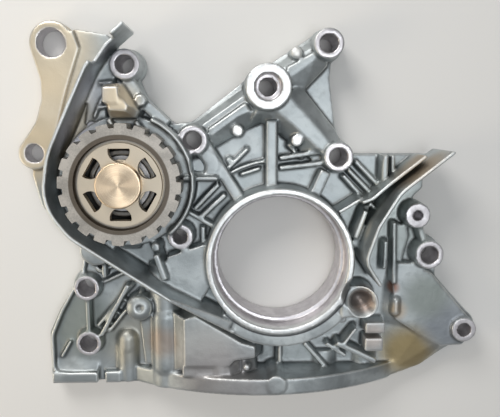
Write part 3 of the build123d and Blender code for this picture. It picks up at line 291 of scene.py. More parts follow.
def blister(centre, half_width, half_length, base, top, steps=7, sides=28):
    """A dome with round ends: two half circles and the lines between them, which shrink with the
    height as a quarter circle does."""
    turn = np.linspace(0, 2 * np.pi, sides, endpoint=False) + np.pi / sides
    straight = (half_length - half_width) * np.sign(np.sin(turn))
    rings = []
    for lift in np.linspace(0, DOME_CUT, steps):
        reach = half_width * np.sqrt(1 - lift ** 2)
        across = centre[0] + reach * np.cos(turn)
        up = centre[1] + straight + reach * np.sin(turn)
        rings.append(level(np.column_stack([across, up]), base + (top - base) * lift))
    return stacked(rings)


def skewed_block(foot, crest, base, step, top):
    """A block with sloped flanks: upright from base to step, then leaning in to another outline."""
    return stacked([level(foot, base), level(foot, step), level(crest, top)])


# sloped flanks and small round pads of the three-armed idler bracket
BRACKET_FLANKS = [
    skewed_block([(8.4, 90.5), (13.1, 87.0), (28.9, 67.6), (31.8, 62.6), (22.5, 54.5), (12.4, 56.8),
                  (0.3, 65.6), (-9.0, 71.7)],
                 [(4.8, 83.7), (6.4, 82.2), (25.4, 61.0), (25.9, 59.6), (22.0, 56.9), (19.5, 57.5),
                  (4.9, 71.2), (-2.7, 77.2)], CAST_BASE, 14.3, 19.7),
    skewed_block([(5.3, 87.5), (12.6, 87.0), (21.7, 96.6), (25.0, 100.2), (19.0, 105.5), (2.7, 97.5)],
                 [(2.9, 93.8), (4.4, 93.3), (17.5, 102.8), (18.0, 104.2), (16.6, 105.4), (1.9, 95.7)],
                 CAST_BASE, 13.6, 17.7),
    skewed_block([(-7.9, 71.7), (-20.4, 66.1), (-35.0, 57.3), (-38.2, 61.0), (-37.6, 67.5), (-16.7, 83.5)],
                 [(-15.3, 76.8), (-21.5, 74.2), (-34.8, 64.6), (-36.3, 65.7), (-35.3, 67.7), (-17.4, 80.3)],
                 CAST_BASE, 12.6, 17.6),
    skewed_block([(-16, 69.5), (-9, 71.0), (-2.5, 67.8), (5, 71.5), (0, 80), (-14, 80)],
                 [(-13, 75.5), (-9, 76), (-4, 75), (0, 76.5), (-1, 80), (-12, 80)], CAST_BASE, 13.4, 19.0),
    drafted_pad((8.7, 61.8), 3.4, 3.0, CAST_BASE, 19.4),
    drafted_pad((8.2, 105.9), 3.3, 3.0, CAST_BASE, 18.4),
    drafted_pad((-21.6, 66.8), 3.3, 3.0, CAST_BASE, 18.0),
]
# slopes and swellings of the pan flange, the inlet hump, the relief barrel and the right side
LOWER_SLOPES = [
    skewed_block([(58, -17), (57, -38), (63, -67), (79, -62.8), (95, -52), (95, -40), (81, -19),
                  (72.5, -6.5), (61, -5)],
                 [(63.5, -17), (66, -33), (77.5, -41), (89, -47), (93, -47), (93, -40), (79, -20),
                  (71.5, -8), (65, -7)], CAST_BASE, 10.2, 16.1),
    stacked([level([(61, -61), (61, -69.6), (76, -64.2), (72, -58.5)], CAST_BASE),
             [(61, -61, 12.1), (61, -69.6, 12.1), (76, -64.2, 10.2), (72, -58.5, 10.2)]]),
    stacked([level([(-121.5, -69.5), (-98, -69.5), (-98, -59.5), (-112, -57), (-121.5, -58)], CAST_BASE),
             [(-121.5, -69.5, 13.9), (-98, -69.5, 13.9), (-98, -59.5, 10.2), (-112, -57, 10.2),
              (-121.5, -58, 10.2)]]),
    stacked([level([(-53.8, -27), (-49, -29), (-49, -61), (-53.8, -61)], CAST_BASE),
             level([(-53.8, -27), (-49, -29), (-49, -61), (-53.8, -61)], 17.0),
             level([(-57, -27), (-49, -29), (-49, -61), (-57, -61)], 17.2),
             [(-57, -27, 20.7), (-49.4, -29.6, 27.9), (-49.4, -56, 27.9), (-57, -61, 20.7)]]),
    stacked([level([(-51, -55), (-42.5, -55), (-42.5, -61.2), (-51, -61.2)], CAST_BASE),
             level([(-51, -55), (-42.5, -55), (-42.5, -61.2), (-51, -61.2)], 25.2)]),
    stacked([level([(-51, -54.8), (-27, -54.8), (-25.5, -61.2), (-51, -61.2)], 24.8),
             level([(-51, -54.8), (-27, -54.8), (-25.5, -61.2), (-51, -61.2)], 27.4)]),
    stacked([level([(-56, -15.9), (-27, -35.2), (-24.8, -31.0), (-54.5, -15.4)], CAST_BASE),
             [(-56, -15.9, 39.6), (-27, -35.2, 29.6), (-24.8, -31.0, 29.0), (-54.5, -15.4, 39.4)]]),
    stacked([level([(-19.6, -50), (-14, -48), (-11.5, -61), (-19.6, -61)], CAST_BASE),
             [(-19.6, -50, 24), (-14, -48, 20), (-11.5, -61, 19), (-19.6, -61, 24)]]),
    blister((-82, -48.5), 6.7, 9.0, 7, 14.2),
    blister((-60.5, -45), 6.5, 19.5, 18.9, 23.2),
    blister((63.2, -27), 3.0, 6.0, 14, 19.0),
]
# web between the crank collar and the band round it
GROOVE_FILL = [arc_wall((0, 0), 39.2, 3.0, -127, -34, CAST_BASE, 27.7),
               arc_wall((0, 0), 41.6, 6.8, -48, -30, CAST_BASE, 27.4),
               arc_wall((0, 0), 41.0, 5.0, -137, -121, CAST_BASE, 27.6)]
# two rails and three rungs of stiffening ribs at the lower left
LADDER = [drafted_bar((-97.2, -37.4), (-77.4, -13.8), 2.6, 1.5, CAST_BASE, 16.4),
          drafted_bar((-91.5, -40.8), (-72.7, -17.2), 2.6, 1.5, CAST_BASE, 16.4)]
LADDER += [drafted_bar(start, end, 2.0, 1.2, CAST_BASE, 14.6) for start, end in [
    ((-93.3, -32.4), (-89.2, -36.3)),
    ((-88.9, -27.5), (-84.8, -31.4)),
    ((-83.9, -21.5), (-79.8, -25.4)),
]]
# thin straight ribs: start, end, foot width and top
THIN_WORK = [drafted_bar(start, end, foot, CREST_SHARE * foot, CAST_BASE, top) for start, end, foot, top in [
    ((-50.5, 42.6), (-31.3, 42.6), 3.0, 22.4),
    ((-16.0, 58.0), (-30.0, 44.0), 2.4, 16.5),
    ((-9.5, 47.5), (-20.5, 44.0), 2.2, 16.0),
    ((4.0, 60.0), (12.5, 52.0), 2.2, 16.0),
    ((-64.0, 5.0), (-59.0, -10.0), 4.6, 27.0),
    ((-83.5, 6.5), (-73.0, 6.8), 3.0, 17.0),
    ((-89.0, 2.0), (-99.0, 8.0), 2.2, 16.0),
    ((-96.5, -8.0), (-86.0, -3.5), 2.2, 15.0),
    ((-99.0, -2.2), (-93.4, -7.7), 2.6, 16.5),
    ((-94.0, -13.5), (-80.0, -7.0), 2.2, 15.0),
    ((-118.0, -56.0), (-112.4, -46.3), 2.0, 12.5),
    ((-86.5, 73.0), (-82.0, 66.0), 3.0, 24.0),
    ((-73.0, 72.0), (-69.0, 66.0), 3.0, 24.0),
    ((-93.5, 78.5), (-87.5, 79.0), 2.0, 17.0),
    ((-92.0, 90.5), (-84.0, 91.5), 2.0, 17.5),
    ((-95.0, 73.0), (-90.0, 84.0), 2.0, 16.5),
    ((54.8, 55.0), (54.4, 40.0), 4.0, 20.5),
    ((27.5, 24.1), (42.5, 33.2), 2.6, 27.0),
    ((47.0, 30.0), (54.0, 22.0), 2.6, 19.0),
    ((56.8, 9.3), (56.3, -7.0), 3.4, 18.0),
    ((54.5, 22.5), (60.0, 27.0), 2.4, 18.0),
    ((30.8, -46.3), (53.4, -57.5), 4.0, 20.0),
    ((42.0, -38.0), (35.2, -47.5), 2.4, 20.0),
    ((0.5, -45.8), (0.6, -57.0), 2.8, 22.0),
    ((44.6, 26.5), (39.0, 10.8), 3.6, 24.0),
    ((50.2, 23.0), (47.1, 6.2), 3.6, 25.0),
]]
# small round pads and the blunt cone under the collar
ROUND_WORK = [drafted_pad((-17.3, -57.0), 5.0, 1.6, CAST_BASE, 27.0),
              drafted_pad((34.0, -33.0), 3.0, 2.2, CAST_BASE, 21.0),
              drafted_pad((-64.5, 7.0), 3.4, 2.4, CAST_BASE, 21.0),
              drafted_pad((-26.0, 51.5), 2.0, 1.7, CAST_BASE, 15.5)]
# the sloped block between the tower and the pulley
TOWER_SLOPE = [skewed_block([(-88.3, 89.5), (-78.8, 90.2), (-70.2, 76.2), (-71.8, 73.2), (-85.0, 73.2)],
                            [(-86.4, 85.0), (-80.5, 85.5), (-75.0, 79.5), (-76.0, 76.5), (-84.0, 77.0)],
                            CAST_BASE, 25.5, 31.4)]
CAST_DETAILS = BRACKET_FLANKS + LOWER_SLOPES + GROOVE_FILL + LADDER + THIN_WORK + ROUND_WORK + TOWER_SLOPE

corners, triangles = merged_arrays("pump_housing")
cast_places = [corners]
cast_faces = [tuple(row) for row in triangles.tolist()]
cast_count = len(corners)
for rows, faces in CAST_DETAILS:
    cast_places.append(rows * MM)
    cast_faces += [tuple(i + cast_count for i in face) for face in faces]
    cast_count += len(rows)
cast_mesh = bpy.data.meshes.new("case_blank")
cast_mesh.from_pydata(np.vstack(cast_places).tolist(), [], cast_faces)
case = placed("case", cast_mesh)


def settled(piece, kind, **settings):
    """Adds a modifier, takes its result as the piece's mesh and removes it."""
    made = piece.modifiers.new(kind.lower(), kind)
    for name, value in settings.items():
        setattr(made, name, value)
    bpy.context.view_layer.update()
    depsgraph = bpy.context.evaluated_depsgraph_get()
    result = bpy.data.meshes.new_from_object(piece.evaluated_get(depsgraph),
                                             preserve_all_data_layers=True, depsgraph=depsgraph)
    piece.modifiers.clear()
    piece.data = result
    return result


def machined_share(places):
    """How far each point in mm lies on a machined face or bore: 1 on it and 0 off it, falling evenly
    over FACE_FADE, BOSS_FADE or BORE_FADE. The nose, the pocket and the recess end at once."""
    x, y, z = places.T
    share = np.clip(1 - z / FACE_FADE, 0, 1)
    share = np.maximum(share, np.clip(1 - (y - PAN_FACE) / FACE_FADE, 0, 1))
    for across, up, radius, top in BOLT_FACES:
        away = np.hypot(x - across, y - up)
        faced = np.clip(1 - np.abs(z - top) / BOSS_FADE, 0, 1)
        share = np.maximum(share, (away < radius - BOSS_RIM) * faced)
    for across, up, radius in BORES:
        away = np.hypot(x - across, y - up)
        bored = np.clip(BORE_START - (away - radius) / BORE_FADE, 0, 1)
        share = np.maximum(share, (z > BORE_LOWEST) * bored)
    pump = np.hypot(x - PUMP_AXIS[0], y - PUMP_AXIS[1])
    share = np.maximum(share, ((pump < NOSE_RADIUS) & (z > NOSE_BASE)) * 1.0)
    share = np.maximum(share, ((pump < POCKET_RADIUS) & (z < POCKET_DEPTH)) * 1.0)
    return np.maximum(share, ((pump < RECESS_RADIUS) & (z < RECESS_DEPTH)) * 1.0)


def smoothed(places, edges, share, rounds):
    """Moves each point towards the mean of its neighbours, by its share, a number of times."""
    first, second = edges.T
    count = len(places)
    degree = np.bincount(first, minlength=count) + np.bincount(second, minlength=count)
    degree = np.maximum(degree, 1)
    for _ in range(rounds):
        mean = np.empty_like(places)
        for axis in range(3):
            mean[:, axis] = (np.bincount(first, places[second, axis], count)
                             + np.bincount(second, places[first, axis], count)) / degree
        places = places + PULL * share[:, None] * (mean - places)
    return places


def sunk(places, centre, radius, depth, above):
    """Sinks a bowl: depth times one less the squared share of the radius, above a height, in mm."""
    away = np.hypot(places[:, 0] - centre[0], places[:, 1] - centre[1]) / radius
    places[:, 2] -= depth * np.clip(1 - away ** 2, 0, 1) * (places[:, 2] > above)


def crowned(places, centre, radius, drop, above):
    """Turns a flat round top into a crown: it falls by the drop times the squared share of the
    radius, in mm."""
    away = np.hypot(places[:, 0] - centre[0], places[:, 1] - centre[1]) / radius
    places[:, 2] -= drop * np.clip(away, 0, 1) ** 2 * (places[:, 2] > above) * (away < CROWN_REACH)


def pocketed(places, outline, depth, above):
    """Sinks the floor inside a closed clockwise outline: by the full depth from POCKET_SLOPE inside
    its sides, and nearer to them by a share of the distance. Sizes in mm."""
    outline = np.array(outline)
    inside = np.full(len(places), np.inf)
    for start, end in zip(outline, np.roll(outline, -1, axis=0)):
        run = (end - start) / np.linalg.norm(end - start)
        away = run[1] * (places[:, 0] - start[0]) - run[0] * (places[:, 1] - start[1])
        inside = np.minimum(inside, away)
    places[:, 2] -= depth * np.clip(inside / POCKET_SLOPE, 0, 1) * (places[:, 2] > above)


def bore_cleared(places, axis, radius, low, high):
    """Pushes the points inside a hole along y out to its radius about the axis (x, z), in mm."""
    across = places[:, [0, 2]] - np.array(axis)
    away = np.hypot(*across.T)
    inside = (away < radius) & (away > BORE_CORE * radius) & (places[:, 1] > low) & (places[:, 1] < high)
    places[inside, 0] = axis[0] + across[inside, 0] * radius / away[inside]
    places[inside, 2] = axis[1] + across[inside, 1] * radius / away[inside]


skin = settled(case, "REMESH", mode="VOXEL", voxel_size=CAST_VOXEL)
normals = read_array(skin.vertices, "normal", 3, np.float32).astype(float)
edges = read_array(skin.edges, "vertices", 2, np.int32)
shaped = read_array(skin.vertices, "co", 3, np.float32).astype(float) / MM
for crown in CROWNS:
    crowned(shaped, *crown)
for bowl in BOWLS:
    sunk(shaped, *bowl)
pocketed(shaped, D_POCKET, D_POCKET_DEPTH, D_POCKET_ABOVE)
places = shaped * MM
blurred = smoothed(places, edges, np.ones(len(places)), BLUR_PASSES)
ridge = np.clip(((places - blurred) * normals).sum(1) / RIDGE_HEIGHT, -1, 1)
shaped = smoothed(places, edges, 1 - machined_share(shaped), ROUNDING_PASSES) / MM
bore_cleared(shaped, RELIEF_AXIS, RELIEF_WALL, *RELIEF_ENDS)
skin.vertices.foreach_set("co", (shaped * MM).astype(np.float32).ravel())
ridge_layer = skin.attributes.new("ridge", "FLOAT", "POINT")
ridge_layer.data.foreach_set("value", ridge.astype(np.float32))
skin.update()

cast_ratio = CAST_TRIANGLES / (2 * len(skin.polygons))
skin = settled(case, "DECIMATE", ratio=cast_ratio, use_collapse_triangulate=True)
shaped = np.clip(read_array(skin.vertices, "co", 3, np.float32), *np.array(cad_box)) / MM
bore_cleared(shaped, RELIEF_AXIS, RELIEF_WALL, *RELIEF_ENDS)
skin.vertices.foreach_set("co", (shaped * MM).astype(np.float32).ravel())
skin.update()
machined_layer = skin.attributes.new("machined", "FLOAT", "POINT")
machined_layer.data.foreach_set("value", machined_share(shaped).astype(np.float32))
skin.polygons.foreach_set("use_smooth", np.ones(len(skin.polygons), bool))
skin = settled(case, "WEIGHTED_NORMAL", weight=60)
skin.name = "case"


def noise(tree, where, scale, detail, distortion=0.0):
    """Soft noise over the surface; scale is how many spots fit in a metre."""
    made = shader_node(tree, "ShaderNodeTexNoise")
    made.inputs["Scale"].default_value = scale
    made.inputs["Detail"].default_value = detail
    made.inputs["Distortion"].default_value = distortion
    joined(tree, where, made.inputs["Vector"])
    return made.outputs["Fac"]


def mixed(tree, share, first, second):
    """Mixes two colours, each a tuple or a socket, by a share."""
    made = shader_node(tree, "ShaderNodeMix", data_type="RGBA")
    joined(tree, share, made.inputs["Factor"])
    for value, place in [(first, "A"), (second, "B")]:
        if isinstance(value, bpy.types.NodeSocket):
            joined(tree, value, made.inputs[place])
        else:
            made.inputs[place].default_value = (*value, 1)
    return made.outputs["Result"]


def ranged(tree, value, low, high, to_low=0.0, to_high=1.0):
    """Maps a value from one range to another along a smooth step."""
    made = shader_node(tree, "ShaderNodeMapRange", interpolation_type="SMOOTHSTEP")
    made.inputs["From Min"].default_value = low
    made.inputs["From Max"].default_value = high
    made.inputs["To Min"].default_value = to_low
    made.inputs["To Max"].default_value = to_high
    joined(tree, value, made.inputs["Value"])
    return made.outputs["Result"]


def reckoned(tree, operation, first, second):
    """One step of arithmetic on a socket and a second socket or a number."""
    made = shader_node(tree, "ShaderNodeMath", operation=operation)
    joined(tree, first, made.inputs[0])
    if isinstance(second, bpy.types.NodeSocket):
        joined(tree, second, made.inputs[1])
    else:
        made.inputs[1].default_value = second
    return made.outputs[0]


def bumped(tree, height, distance):
    """A bump that rises by this distance in metres where the height is 1."""
    made = shader_node(tree, "ShaderNodeBump")
    made.inputs["Distance"].default_value = distance
    joined(tree, height, made.inputs["Height"])
    return made.outputs["Normal"]


def away_from(tree, where, centre):
    """How far the surface is from a point in mm, as a length in metres."""
    made = shader_node(tree, "ShaderNodeVectorMath", operation="DISTANCE")
    made.inputs[1].default_value = Vector(centre) * MM
    joined(tree, where, made.inputs[0])
    return made.outputs["Value"]


def flattened(tree, where):
    """The place with its height set to 0."""
    made = shader_node(tree, "ShaderNodeVectorMath", operation="MULTIPLY")
    made.inputs[1].default_value = (1, 1, 0)
    joined(tree, where, made.inputs[0])
    return made.outputs[0]


def band(tree, length, low, high, edge):
    """1 between two lengths in mm, falling to 0 at both over an edge inside them."""
    rising = ranged(tree, length, low * MM, (low + edge) * MM)
    falling = ranged(tree, length, high * MM, (high - edge) * MM)
    return reckoned(tree, "MULTIPLY", rising, falling)


CAST_METALLIC = 0.86
CAST_ROUGHNESS = (0.40, 0.54)
MACHINED_POLISH = -0.10    # added to the roughness of machined faces
CAST_GRAIN = 0.12 * MM
CAST_DARK = (0.33, 0.36, 0.37)
CAST_LIGHT = (0.56, 0.60, 0.61)
CAST_SPOT = (0.25, 0.275, 0.28)
BOSS_TONES = ((0.56, 0.54, 0.56), (0.68, 0.66, 0.68))
# painted highlight: machined faces above 26 mm, the collar and the idler face, are lighter than the lower
# bosses
LIT_MACHINED_TONES = ((0.70, 0.72, 0.72), (0.82, 0.83, 0.83))
# painted shade: the case round the pump axis, under the pulley, is darkened
PULLEY_SHADE_TONE = (0.07, 0.06, 0.05)
# painted shade in creases and hollows, where the surface lies below its blurred shape
CREVICE_SHADE = (0.10, 0.10, 0.10)
# painted shade in the narrow groove round the crank collar
COLLAR_GROOVE_SHADE_TONE = (0.10, 0.10, 0.11)
# painted highlight on sharp edges and rib crests
EDGE_HIGHLIGHT = (0.88, 0.90, 0.89)
SHADED_RADIUS = (31, 27)   # where the painted shade behind the pulley starts and is full, in mm
SHADED_HEIGHT = 25
COLLAR_GROOVE_SHADE_BAND = (38.6, 39.8, 0.3)   # inner and outer radius of the painted shade in the groove round the crank collar, and its soft edge, in mm
LIGHT_AND_SHADE_PATCHES = [  # painted reflections, highlights and shade, each round a point: centre and radius in mm, colour, strength
    ((-118, 108, 12), 33, (0.66, 0.56, 0.40), 0.75),
    ((-120, 76, 12), 32, (0.66, 0.56, 0.40), 0.75),
    ((-127, 55, 12), 24, (0.66, 0.56, 0.40), 0.75),
    ((-80, 100, 24), 14, (0.60, 0.60, 0.66), 0.45),
    ((-96, 86, 27), 18, (0.84, 0.84, 0.90), 0.70),
    ((-103, 66, 27), 18, (0.84, 0.84, 0.90), 0.70),
    ((-82, -46, 14), 20, (0.44, 0.42, 0.35), 0.60),
    ((-40, -48, 26), 24, (0.42, 0.40, 0.38), 0.50),
    ((8.7, 61.8, 19), 4.6, (0.90, 0.90, 0.90), 0.95),
    ((8.2, 105.9, 18), 4.6, (0.88, 0.87, 0.84), 0.95),
    ((-21.6, 66.8, 18), 4.6, (0.90, 0.90, 0.90), 0.95),
    ((41.8, 18.5, 24), 8, (0.86, 0.86, 0.85), 0.80),
    ((48.7, 14.6, 25), 8, (0.80, 0.74, 0.62), 0.75),
    ((43, -22, 26), 8.5, (0.20, 0.17, 0.15), 0.90),
    ((-80, 82, 28), 15, (0.74, 0.62, 0.44), 0.80),
    ((-108, -36, 9), 27, (0.27, 0.30, 0.28), 0.85),
    ((-62, -44, 20), 12, (0.40, 0.30, 0.23), 0.60),
    ((72, -54, 11), 21, (0.46, 0.35, 0.16), 0.85),
    ((92, -38, 16), 20, (0.25, 0.27, 0.30), 0.75),
    ((80, -22, 16), 18, (0.26, 0.29, 0.27), 0.75),
    ((62, -17, 14), 5, (0.34, 0.14, 0.08), 0.80),
    ((64, -30, 18), 8, (0.56, 0.45, 0.33), 0.70),
    ((70, 47, 30), 20, (0.40, 0.31, 0.21), 0.80),
    ((50, -42, 20), 11, (0.56, 0.47, 0.42), 0.60),
    ((62, 22, 10), 34, (0.42, 0.46, 0.44), 0.60),
    ((46, -20, 24), 10, (0.30, 0.23, 0.20), 0.75),
    ((-30, -66, 30), 34, (0.40, 0.37, 0.37), 0.55),
]

cast_paint = bpy.data.materials.new("die_cast_aluminium")
cast_paint.use_nodes = True
tree = cast_paint.node_tree
shader = tree.nodes["Principled BSDF"]
where = shader_node(tree, "ShaderNodeTexCoord").outputs["Object"]
place_parts = shader_node(tree, "ShaderNodeSeparateXYZ")
joined(tree, where, place_parts.inputs[0])
height = place_parts.outputs["Z"]
machined = shader_node(tree, "ShaderNodeAttribute", attribute_name="machined").outputs["Fac"]
ridge_value = shader_node(tree, "ShaderNodeAttribute", attribute_name="ridge").outputs["Fac"]
clouds = noise(tree, where, 45, 5, 0.6)
spots = noise(tree, where, 260, 4, 0.2)
grain = noise(tree, where, 1500, 3)

cast_tone = mixed(tree, ranged(tree, clouds, 0.35, 0.68), CAST_DARK, CAST_LIGHT)
cast_tone = mixed(tree, ranged(tree, spots, 0.5, 0.75, 0.0, 0.35), cast_tone, CAST_SPOT)
# painted light and shade by place: warm and cool reflections, bright pads and dark recesses
for centre, radius, colour, strength in LIGHT_AND_SHADE_PATCHES:
    share = ranged(tree, away_from(tree, where, centre), radius * MM, 0.35 * radius * MM, 0.0, strength)
    cast_tone = mixed(tree, share, cast_tone, colour)
# painted shade under the pulley, on cast and machined faces alike
from_pump = away_from(tree, where, (*PUMP_AXIS, SHADED_HEIGHT))
pulley_shade = ranged(tree, from_pump, SHADED_RADIUS[0] * MM, SHADED_RADIUS[1] * MM, 0.0, 0.85)
cast_tone = mixed(tree, pulley_shade, cast_tone, PULLEY_SHADE_TONE)
# painted shade in creases, then painted highlight on ridges
cast_tone = mixed(tree, ranged(tree, ridge_value, -0.15, -0.9, 0.0, 0.55), cast_tone, CREVICE_SHADE)
cast_tone = mixed(tree, ranged(tree, ridge_value, 0.25, 0.9, 0.0, 0.5), cast_tone, EDGE_HIGHLIGHT)
# painted shade in the groove round the crank collar, near its top
from_crank = away_from(tree, flattened(tree, where), (0, 0, 0))
collar_groove_shade = band(tree, from_crank, *COLLAR_GROOVE_SHADE_BAND)
collar_groove_shade = reckoned(tree, "MULTIPLY", collar_groove_shade, ranged(tree, height, 24 * MM, 26 * MM, 0.0, 0.8))
cast_tone = mixed(tree, collar_groove_shade, cast_tone, COLLAR_GROOVE_SHADE_TONE)

boss_tone = mixed(tree, ranged(tree, spots, 0.3, 0.7), *BOSS_TONES)
lit_machined_tone = mixed(tree, ranged(tree, spots, 0.3, 0.7), *LIT_MACHINED_TONES)
# painted highlight: the higher machined faces get the lighter tones
machined_tone = mixed(tree, ranged(tree, height, 23 * MM, 26 * MM), boss_tone, lit_machined_tone)
machined_tone = mixed(tree, pulley_shade, machined_tone, PULLEY_SHADE_TONE)
joined(tree, mixed(tree, machined, cast_tone, machined_tone), shader.inputs["Base Color"])
shader.inputs["Metallic"].default_value = CAST_METALLIC
cast_rough = ranged(tree, clouds, 0.3, 0.7, *CAST_ROUGHNESS)
machined_rough = reckoned(tree, "MULTIPLY", machined, MACHINED_POLISH)
joined(tree, reckoned(tree, "ADD", cast_rough, machined_rough), shader.inputs["Roughness"])
cast_height = reckoned(tree, "ADD", reckoned(tree, "MULTIPLY", grain, 0.4), spots)
joined(tree, bumped(tree, cast_height, CAST_GRAIN), shader.inputs["Normal"])

skin.materials.clear()
skin.materials.append(cast_paint)
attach(case, "housing")
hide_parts("pump_housing")


# ---------------------------------------------------------------------------
# Belt pulley
# ---------------------------------------------------------------------------
# The toothed pulley is pressed and sintered from iron powder. Its faces are
# dull and slightly porous, and its tooth corners are softened by tumbling.

WELD_REACH = 0.004 * MM
FLAT_ANGLE = math.radians(1)    # neighbouring faces that bend less than this become one
EDGE_ANGLE = math.radians(32)   # edges that bend more than this are rounded
WEB_EDGE = (21.6, 20.6)         # radius where the web's tone starts and where it is full, in mm
WEB_TONE = (0.66, 0.58, 0.46)
PULLEY_GROOVE_SHADE_BAND = (21.4, 24.6, 0.6)   # inner and outer radius of the painted shade in the pulley's groove and its soft edge, in mm
# painted shade: the recessed groove ring is painted dark brown
PULLEY_GROOVE_SHADE_TONE = (0.09, 0.07, 0.05)


def plain_metal(name, dark, light, rough, spots_per_metre, grain_height_mm, metallic=1.0):
    """A bare metal: two tones in fine and coarse spots, with a low grain that bumps the surface."""
    paint = bpy.data.materials.new(name)
    paint.use_nodes = True
    tree = paint.node_tree
    shader = tree.nodes["Principled BSDF"]
    shader.inputs["Metallic"].default_value = metallic
    where = shader_node(tree, "ShaderNodeTexCoord").outputs["Object"]
    coarse = noise(tree, where, 120, 5, 0.4)
    fine = noise(tree, where, spots_per_metre, 4)
    both = reckoned(tree, "ADD", reckoned(tree, "MULTIPLY", coarse, 0.6),
                    reckoned(tree, "MULTIPLY", fine, 0.4))
    joined(tree, mixed(tree, ranged(tree, both, 0.35, 0.65), dark, light), shader.inputs["Base Color"])
    joined(tree, ranged(tree, both, 0.3, 0.7, rough - 0.06, rough + 0.08), shader.inputs["Roughness"])
    joined(tree, bumped(tree, fine, grain_height_mm * MM), shader.inputs["Normal"])
    return paint


def softened(node, paint, width_mm):
    """Gives a CAD node its finish, and rounds its sharp edges by a width in mm."""
    piece = nodes[node]
    piece.data.materials.clear()
    piece.data.materials.append(paint)
    weld = piece.modifiers.new("weld", "WELD")
    weld.merge_threshold = WELD_REACH
    planar = piece.modifiers.new("planar", "DECIMATE")
    planar.decimate_type = "DISSOLVE"
    planar.angle_limit = FLAT_ANGLE
    rounding = piece.modifiers.new("rounding", "BEVEL")
    rounding.width = width_mm * MM
    rounding.segments = 2
    rounding.limit_method = "ANGLE"
    rounding.angle_limit = EDGE_ANGLE
    rounding.harden_normals = True


pulley_paint = plain_metal("sintered_pulley", (0.36, 0.34, 0.31), (0.54, 0.51, 0.47), 0.50, 1400, 0.05)
tree = pulley_paint.node_tree
shader = tree.nodes["Principled BSDF"]
pulley_tone = shader.inputs["Base Color"].links[0].from_socket
where = shader_node(tree, "ShaderNodeTexCoord").outputs["Object"]
from_axis = away_from(tree, flattened(tree, where), (*PUMP_AXIS, 0))
web_share = ranged(tree, from_axis, WEB_EDGE[0] * MM, WEB_EDGE[1] * MM, 0.0, 0.8)
pulley_tone = mixed(tree, web_share, pulley_tone, WEB_TONE)
# painted shade in the pulley's recessed groove ring
pulley_groove_shade = reckoned(tree, "MULTIPLY", band(tree, from_axis, *PULLEY_GROOVE_SHADE_BAND), 0.85)
pulley_tone = mixed(tree, pulley_groove_shade, pulley_tone, PULLEY_GROOVE_SHADE_TONE)
joined(tree, pulley_tone, shader.inputs["Base Color"])
softened("belt_pulley", pulley_paint, 0.4)


# ---------------------------------------------------------------------------
# Drive shaft
# ---------------------------------------------------------------------------
# The shaft is turned from bar steel. Its broad head holds the pulley and is
# faced in the lathe, which leaves fine rings that shine as two opposite fans.

UV_LENGTH = 20
SHAFT_PROFILE = [  # radius and height in mm: rear end, journal, shoulder and the faced nose
    (0.0, 1.2), (7.0, 1.2), (8.0, 2.2), (8.0, 20.0), (8.0, 36.5), (11.0, 36.5), (11.0, 41.5),
    (10.85, 41.8), (10.5, 41.97), (10.1, 42.0), (7.0, 41.93), (4.0, 41.86), (1.4, 41.8), (0.0, 41.8)]
# painted reflection: the steel is tinted warm peach, the colour of its highlights; the two tones follow the
# ring marks
SHAFT_REFLECTION_TONES = ((0.70, 0.53, 0.36), (0.94, 0.78, 0.58))


def turned_piece(name, centre, profile, sides=96):
    """A lathe shape in mm: each profile point (radius, height) goes round the axis, and the ends of
    the profile lie on it. U runs round the axis and V along the profile, one for every UV_LENGTH."""
    profile = np.array(profile, float)
    turn = np.linspace(0, 2 * np.pi, sides, endpoint=False)
    radius, height = profile.T
    x = centre[0] + radius[:, None] * np.cos(turn)
    y = centre[1] + radius[:, None] * np.sin(turn)
    z = np.repeat(height[:, None], sides, axis=1)
    rows = np.stack([x, y, z], -1).reshape(-1, 3) * MM
    ring = np.arange(len(profile) - 1)[:, None] * sides
    step = np.arange(sides)[None, :]
    after = (step + 1) % sides
    quads = np.stack([ring + step, ring + after, ring + sides + after, ring + sides + step], -1)
    mesh = bpy.data.meshes.new(name)
    mesh.from_pydata(rows.tolist(), [], quads.reshape(-1, 4).tolist())
    length = np.concatenate([[0], np.cumsum(np.hypot(*np.diff(profile, axis=0).T))])
    left = step + 0 * ring
    across = np.stack([left, left + 1, left + 1, left], -1) / sides
    low = np.broadcast_to(length[:-1, None], left.shape)
    high = np.broadcast_to(length[1:, None], left.shape)
    along = np.stack([low, low, high, high], -1) / UV_LENGTH
    uv = mesh.uv_layers.new(name="turning")
    uv.data.foreach_set("uv", np.stack([across, along], -1).astype(np.float32).ravel())
    mesh.polygons.foreach_set("use_smooth", np.ones(len(mesh.polygons), bool))
    mesh.set_sharp_from_angle(angle=math.radians(35))
    piece = placed(name, mesh)
    poles = piece.modifiers.new("closed_poles", "WELD")
    poles.merge_threshold = WELD_REACH
    return piece


shaft_paint = bpy.data.materials.new("faced_steel")
shaft_paint.use_nodes = True
tree = shaft_paint.node_tree
shader = tree.nodes["Principled BSDF"]
shader.inputs["Metallic"].default_value = 1.0
shader.inputs["Anisotropic"].default_value = 0.85
shader.inputs["Roughness"].default_value = 0.34
rings = shader_node(tree, "ShaderNodeUVMap", uv_map="turning").outputs[0]
round_way = shader_node(tree, "ShaderNodeTangent", direction_type="UV_MAP", uv_map="turning")
joined(tree, round_way.outputs[0], shader.inputs["Tangent"])
stretched = shader_node(tree, "ShaderNodeMapping")
stretched.inputs["Scale"].default_value = (2.0, 260.0, 1.0)
joined(tree, rings, stretched.inputs["Vector"])
ring_marks = noise(tree, stretched.outputs[0], 1.0, 3)
# painted warm reflection in the base colour, varied along the ring marks
shaft_tone = mixed(tree, ranged(tree, ring_marks, 0.35, 0.65), *SHAFT_REFLECTION_TONES)
joined(tree, shaft_tone, shader.inputs["Base Color"])
joined(tree, bumped(tree, ring_marks, 0.02 * MM), shader.inputs["Normal"])

